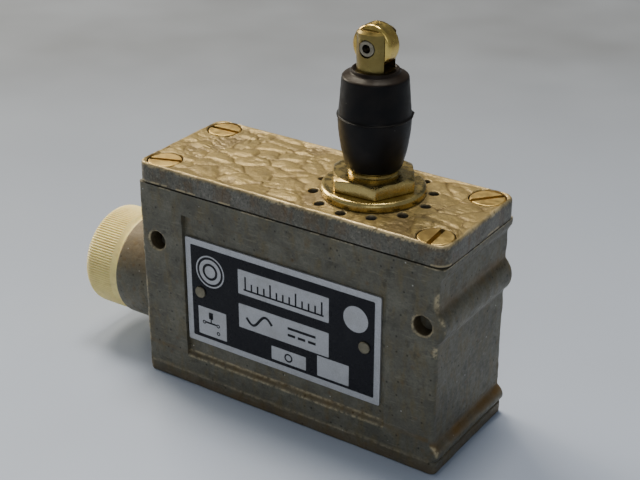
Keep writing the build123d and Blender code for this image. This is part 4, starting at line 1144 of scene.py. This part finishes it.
def wave_mark(cx, cz, length, height, width, steps=24):
    """One turn of a sine wave as a band of even width."""
    t = np.linspace(-0.5, 0.5, steps)
    x, z = cx + t * length, cz + height / 2 * np.sin(t * 2 * np.pi)
    line = np.stack([x, z], 1)
    d = np.gradient(line, axis=0)
    n = np.stack([-d[:, 1], d[:, 0]], 1) / np.linalg.norm(d, axis=1)[:, None] * width / 2
    return np.concatenate([line + n, (line - n)[::-1]])


def printed(outlines, face_y, lift, depth=0.12):
    """Flat raised marks: each (x, z) outline becomes a low prism standing out of the plate. A pair of
    outlines of equal count is a ring between them."""
    points, faces = [], []
    start = 0
    for outline in outlines:
        loops = outline if isinstance(outline, tuple) else (outline,)
        n = len(loops[0])
        ring = np.arange(n)
        after = (ring + 1) % n
        levels = []
        for loop in loops:
            for y in (face_y - lift, face_y - lift + depth):
                points.append(np.stack([loop[:, 0], np.full(n, y), loop[:, 1]], 1))
                levels.append(start + ring)
                start += n
        if len(loops) == 1:
            near, far = levels
            faces.append(list(near[::-1]))
            faces.append(list(far))
            faces += [[near[i], near[j], far[j], far[i]] for i, j in zip(ring, after)]
        else:
            near, far, near_in, far_in = levels
            for a, b in ((near, far), (far, far_in), (far_in, near_in), (near_in, near)):
                faces += [[a[i], a[j], b[j], b[i]] for i, j in zip(ring, after)]
    return np.concatenate(points), faces


def build_plate(metal, ink, border):
    """The name plate: bare metal, a black field, bare panels and plain generic marks."""
    x0, z0 = float(PLATE_LOW[0]), float(PLATE_LOW[2])
    x1, z1 = float(PLATE_HIGH[0]), float(PLATE_HIGH[2])
    front, back = float(PLATE_LOW[1]), float(PLATE_HIGH[1])
    base, faces = printed([oblong(x0, z0, x1, z1, 0.4)], front, 0.0, back - front)
    piece = new_piece("name_plate", base, faces, metal, smooth=False)
    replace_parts(piece, "nameplate")
    field, faces = printed([oblong(x0 + border, z0 + border, x1 - border, z1 - border, 0.3)], front, 0.03)
    piece = new_piece("plate_field", field, faces, ink, smooth=False)
    # the light panels, by their x and z
    panels = [oblong(-12.2, 28.6, 12.0, 34.7), oblong(-12.2, 20.0, 12.0, 26.1), oblong(-3.3, 14.6, 6.0, 18.0),
              oblong(9.0, 14.5, 17.2, 19.6), oblong(-23.9, 14.7, -15.9, 21.9), round_mark(18.8, 31.7, 3.1),
              ring_mark(-20.1, 31.5, 4.0, 3.65), round_mark(-20.1, 31.5, 3.05)]
    light, faces = printed(panels, front, 0.06)
    piece = new_piece("plate_panels", light, faces, metal, smooth=False)
    # generic marks: a changeover contact, a scale of ticks, a wave, a direct-current sign, two rings
    marks = [ring_mark(x, z, 0.5, 0.25, 20) for x, z in ((-22.3, 18.0), (-18.3, 18.0), (-18.3, 16.0))]
    marks += [stroke(-21.8, 18.1, -18.8, 18.1, 0.42), stroke(-20.3, 18.3, -20.3, 20.2, 0.3),
              oblong(-20.9, 19.2, -19.7, 20.9, 0.1)]
    for n in range(13):
        x = -10.2 + n * 1.7
        marks.append(stroke(x, 30.0, x, 33.2 if n % 4 == 0 else 31.8, 0.42))
    marks += [stroke(-10.7, 29.9, 10.7, 29.9, 0.42), wave_mark(-6.6, 23.0, 7.0, 3.0, 0.62),
              stroke(1.2, 23.9, 8.6, 23.9, 0.62)]
    marks += [stroke(x, 22.2, x + 2.0, 22.2, 0.62) for x in (1.2, 3.9, 6.6)]
    marks += [ring_mark(1.3, 16.2, 1.1, 0.72, 24), ring_mark(-20.1, 31.5, 2.1, 1.5, 32)]
    dark, faces = printed(marks, front, 0.085)
    piece = new_piece("plate_marks", dark, faces, ink, smooth=False)


# ---------------------------------------------------------------- the stage
def build_stage():
    """Pale table and backdrop in one curved sheet, soft lights, and the camera."""
    scene = bpy.context.scene
    m = Nodes("table_top", 0.5, 0.0, 0.25)
    split = m.tree.nodes.new("ShaderNodeSeparateXYZ")
    m.tree.links.new(m.place, split.inputs[0])
    az = np.radians(VIEW_TURN)
    away = np.array([-np.sin(az), np.cos(az)])
    side = np.array([np.cos(az), np.sin(az)])
    depth = m.math("ADD", m.math("MULTIPLY", split.outputs["X"], float(away[0])),
                   m.math("MULTIPLY", split.outputs["Y"], float(away[1])))
    # the sheet turns from pale blue in front to darker grey further back: partly its own colours, partly a
    # painted fall-off of the light
    base = m.mix(m.remap(depth, -0.05, 0.25), (0.41, 0.475, 0.610), (0.163, 0.177, 0.201))
    base = m.patches(base, (0.31, 0.345, 0.41), m.noise(60.0, 2.0), 0.3, 0.7, 0.3)
    sheet = m.done(base, None, m.bump(m.noise(0.8, 3.0), 0.05, 0.02))
    # the sheet: flat under the object, then rising in a large arc behind it
    bend = np.linspace(0, np.pi / 2, 13)[1:]
    run = np.concatenate([np.linspace(-900, 700, 9), 700 + 500 * np.sin(bend), [1200.0]])
    rise = np.concatenate([np.zeros(9), 500 * (1 - np.cos(bend)), [1500.0]])
    wide = np.linspace(-1600, 1600, 9)
    xy = run[:, None, None] * away + wide[None, :, None] * side
    z = np.repeat(rise[:, None], len(wide), 1)
    points = np.concatenate([xy, z[..., None]], 2).reshape(-1, 3) * MM
    mesh = bpy.data.meshes.new("table")
    mesh.from_pydata(points.tolist(), [], grid_quads(len(run), len(wide), wrap_columns=False).tolist())
    mesh.polygons.foreach_set("use_smooth", np.full(len(mesh.polygons), True))
    mesh.materials.append(sheet)
    table = bpy.data.objects.new("table", mesh)
    scene.collection.objects.link(table)

    world = bpy.data.worlds.new("room")
    world.use_nodes = True
    sky = world.node_tree.nodes["Background"]
    sky.inputs["Color"].default_value = (0.84, 0.92, 1.0, 1.0)
    sky.inputs["Strength"].default_value = 0.28
    scene.world = world

    # name, place, target, width, power in watts, colour
    lights = [
        ("ceiling", (-60, 230, 1200), (0, 0, 30), 300, 9.0, (1.0, 0.93, 0.81)),
        ("window", (-560, 325, 905), (0, 0, 40), 380, 8.6, (1.0, 0.90, 0.73)),
        ("left fill", (-880, 90, 430), (-40, 0, 20), 350, 7.0, (1.0, 0.90, 0.71)),
        ("right fill", (500, -800, 500), (0, 0, 20), 500, 1.0, (0.92, 0.96, 1.0)),
    ]
    for name, place, target, size, power, colour in lights:
        data = bpy.data.lights.new(name, "AREA")
        data.size = size * MM
        data.energy = power
        data.color = colour
        lamp = bpy.data.objects.new(name, data)
        scene.collection.objects.link(lamp)
        aim(lamp, place, target)

    data = bpy.data.cameras.new("camera")
    data.sensor_width = 36.0
    data.lens = 75.92
    data.clip_start, data.clip_end = 0.01, 20.0
    camera = bpy.data.objects.new("camera", data)
    scene.collection.objects.link(camera)
    place = np.array([150.56, -224.02, 173.06])
    az, el = np.radians(33.96), np.radians(26.41)
    back = np.array([np.sin(az) * np.cos(el), -np.cos(az) * np.cos(el), np.sin(el)])
    aim(camera, place, place - back * 100)
    scene.camera = camera


def aim(thing, place, target):
    """Puts a light or the camera at a place in millimetres, looking at the target, level."""
    thing.location = Vector(place) * MM
    thing.rotation_mode = "QUATERNION"
    thing.rotation_quaternion = (Vector(target) - Vector(place)).to_track_quat("-Z", "Y")


# ---------------------------------------------------------------- operators
class SWITCH_OT_castings(bpy.types.Operator):
    """Build the housing, its gland boss and the cobbled cover"""
    bl_idname = "switch.castings"
    bl_label = "Castings"

    def execute(self, context):
        cast = context.scene.switch_cast
        body = cast_body_material(tuple(cast.body_colour))
        cover = cast_cover_material(tuple(cast.cover_colour), tuple(cast.body_colour))
        build_housing(body, cast.roughness_mm)
        build_gland_boss(body, cast.roughness_mm)
        build_cover(cover, cast.roughness_mm, cast.cobble_mm, cast.cobble_size_mm)
        return {"FINISHED"}


class SWITCH_OT_head(bpy.types.Operator):
    """Build the washer, guide bush, boot, roller and the two head springs"""
    bl_idname = "switch.head"
    bl_label = "Head"

    def execute(self, context):
        head = context.scene.switch_head
        brass = turned_brass("brass_finish", tuple(head.brass_colour), (1, 1, 5), 0.24, 0.3)
        build_flange(brass)
        build_bush(brass, head.hex_turn)
        build_boot(boot_rubber(tuple(head.boot_colour)))
        build_roller(turned_brass("roller_brass", (0.68, 0.50, 0.14), (1, 14, 1), 0.17, 0.7))
        steel = plain_metal("steel_finish", (0.42, 0.42, 0.42), 0.3)
        # name, node, coil radius, wire radius, lower and upper end, turns, stroke, body
        outer = ("head_return_spring", "return_spring", 4.1, 0.42, (63.02, 78.58), 6.5, PLUNGER_TRAVEL, "root")
        inner = ("head_overtravel_spring", "overtravel_spring", 1.4, 0.22, (44.02, 51.98), 8, 3.5, "actuator")
        for spring in (outer, inner):
            build_spring(*spring, steel)
        return {"FINISHED"}


class SWITCH_OT_gland(bpy.types.Operator):
    """Build the ribbed pressure screw of the cable gland"""
    bl_idname = "switch.gland"
    bl_label = "Gland"

    def execute(self, context):
        gland = context.scene.switch_gland
        # the last colour serves faint brownish patches and the painted shade in the rib grooves
        build_cap(moulded_plastic("cap_plastic", tuple(gland.cap_colour), (0.52, 0.38, 0.14)), gland.ribs)
        return {"FINISHED"}


class SWITCH_OT_plate(bpy.types.Operator):
    """Build the name plate with its field, panels and generic marks"""
    bl_idname = "switch.plate"
    bl_label = "Name plate"

    def execute(self, context):
        plate = context.scene.switch_plate
        metal, ink = plate_metal(tuple(plate.metal_colour)), plate_ink(tuple(plate.ink_colour))
        build_plate(metal, ink, plate.border_mm)
        return {"FINISHED"}


class SWITCH_OT_finishes(bpy.types.Operator):
    """Give the CAD nodes that stay in view their own finishes"""
    bl_idname = "switch.finishes"
    bl_label = "Finishes"

    def execute(self, context):
        screw = turned_brass("screw_finish", (0.50, 0.36, 0.125), (1, 6, 1), 0.42, 0.4)
        steel = bpy.data.materials["steel_finish"]
        zinc = plain_metal("zinc_plate", (0.5, 0.5, 0.5), 0.35)
        brass = turned_brass("stamped_brass", (0.62, 0.46, 0.18), stretch=(8, 1, 1))
        phenolic = plain_dull("phenolic", (0.09, 0.045, 0.022), 0.45)
        rubber = plain_dull("seal_rubber", (0.02, 0.019, 0.018), 0.7)
        finishes = {
            "cover_gasket": rubber, "bush_seal": rubber, "gland_seal": rubber,
            "cover_screws": screw, "earth_screw": screw,
            "nameplate_rivets": plain_metal("plate_rivets", (0.20, 0.18, 0.13), 0.45),
            "plunger": turned_brass("plunger_finish", (0.25, 0.195, 0.065), (3, 3, 1), 0.33, 0.45),
            "roller_pin": plain_metal("pin_finish", (0.26, 0.23, 0.17), 0.34),
            "bush_locknut": bpy.data.materials["brass_finish"],
            "retaining_ring": steel, "drive_pin": steel, "pivot_pin": steel, "snap_spring": steel,
            "block_base": phenolic, "block_cover": phenolic,
            "switch_button": plain_dull("button_plastic", (0.55, 0.48, 0.36), 0.35),
            "contact_blade": turned_brass("blade_bronze", (0.5, 0.28, 0.13), stretch=(8, 1, 1)),
            "moving_contact": plain_metal("contact_silver", (0.75, 0.75, 0.72), 0.22),
            "fixed_contacts": plain_metal("contact_silver_fixed", (0.75, 0.75, 0.72), 0.22),
            "common_terminal": brass, "nc_terminal": brass, "no_terminal": brass,
            "terminal_clamps": zinc, "terminal_screws": zinc, "block_screws": zinc, "earth_clamp": zinc,
            "gland_inner_washer": zinc, "gland_pressure_washer": zinc,
            "insulating_liner": plain_dull("liner_board", (0.16, 0.09, 0.045), 0.75),
        }
        missing = sorted(set(finishes) - set(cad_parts))
        if missing:
            raise RuntimeError(f"no CAD node for {missing}")
        for name, material in finishes.items():
            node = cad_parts[name]
            node.data.materials.clear()
            node.data.materials.append(material)
        return {"FINISHED"}


class SWITCH_OT_stage(bpy.types.Operator):
    """Set the table, the soft lights and the camera"""
    bl_idname = "switch.stage"
    bl_label = "Stage"

    def execute(self, context):
        build_stage()
        return {"FINISHED"}


class SWITCH_PT_panel(bpy.types.Panel):
    """Sidebar panel that lists the settings and the steps"""
    bl_idname = "SWITCH_PT_panel"
    bl_label = "Limit Switch"
    bl_space_type = "VIEW_3D"
    bl_region_type = "UI"
    bl_category = "Limit Switch"

    def draw(self, context):
        scene = context.scene
        for group in (scene.switch_cast, scene.switch_head, scene.switch_gland, scene.switch_plate):
            box = self.layout.box()
            for key in group.__annotations__:
                box.prop(group, key)
        for operator in OPERATORS:
            self.layout.operator(operator.bl_idname)


GROUPS = {
    "switch_cast": CastSettings, "switch_head": HeadSettings,
    "switch_gland": GlandSettings, "switch_plate": PlateSettings,
}
OPERATORS = (SWITCH_OT_castings, SWITCH_OT_head, SWITCH_OT_gland, SWITCH_OT_plate, SWITCH_OT_finishes,
             SWITCH_OT_stage)


def register():
    for name, group in GROUPS.items():
        bpy.utils.register_class(group)
        setattr(bpy.types.Scene, name, bpy.props.PointerProperty(type=group))
    for operator in OPERATORS:
        bpy.utils.register_class(operator)
    bpy.utils.register_class(SWITCH_PT_panel)


def unregister():
    bpy.utils.unregister_class(SWITCH_PT_panel)
    for operator in reversed(OPERATORS):
        bpy.utils.unregister_class(operator)
    for name, group in GROUPS.items():
        delattr(bpy.types.Scene, name)
        bpy.utils.unregister_class(group)


def main():
    register()
    bpy.ops.switch.castings()
    bpy.ops.switch.head()
    bpy.ops.switch.gland()
    bpy.ops.switch.plate()
    bpy.ops.switch.finishes()
    bpy.ops.switch.stage()


if __name__ == "__main__":
    main()
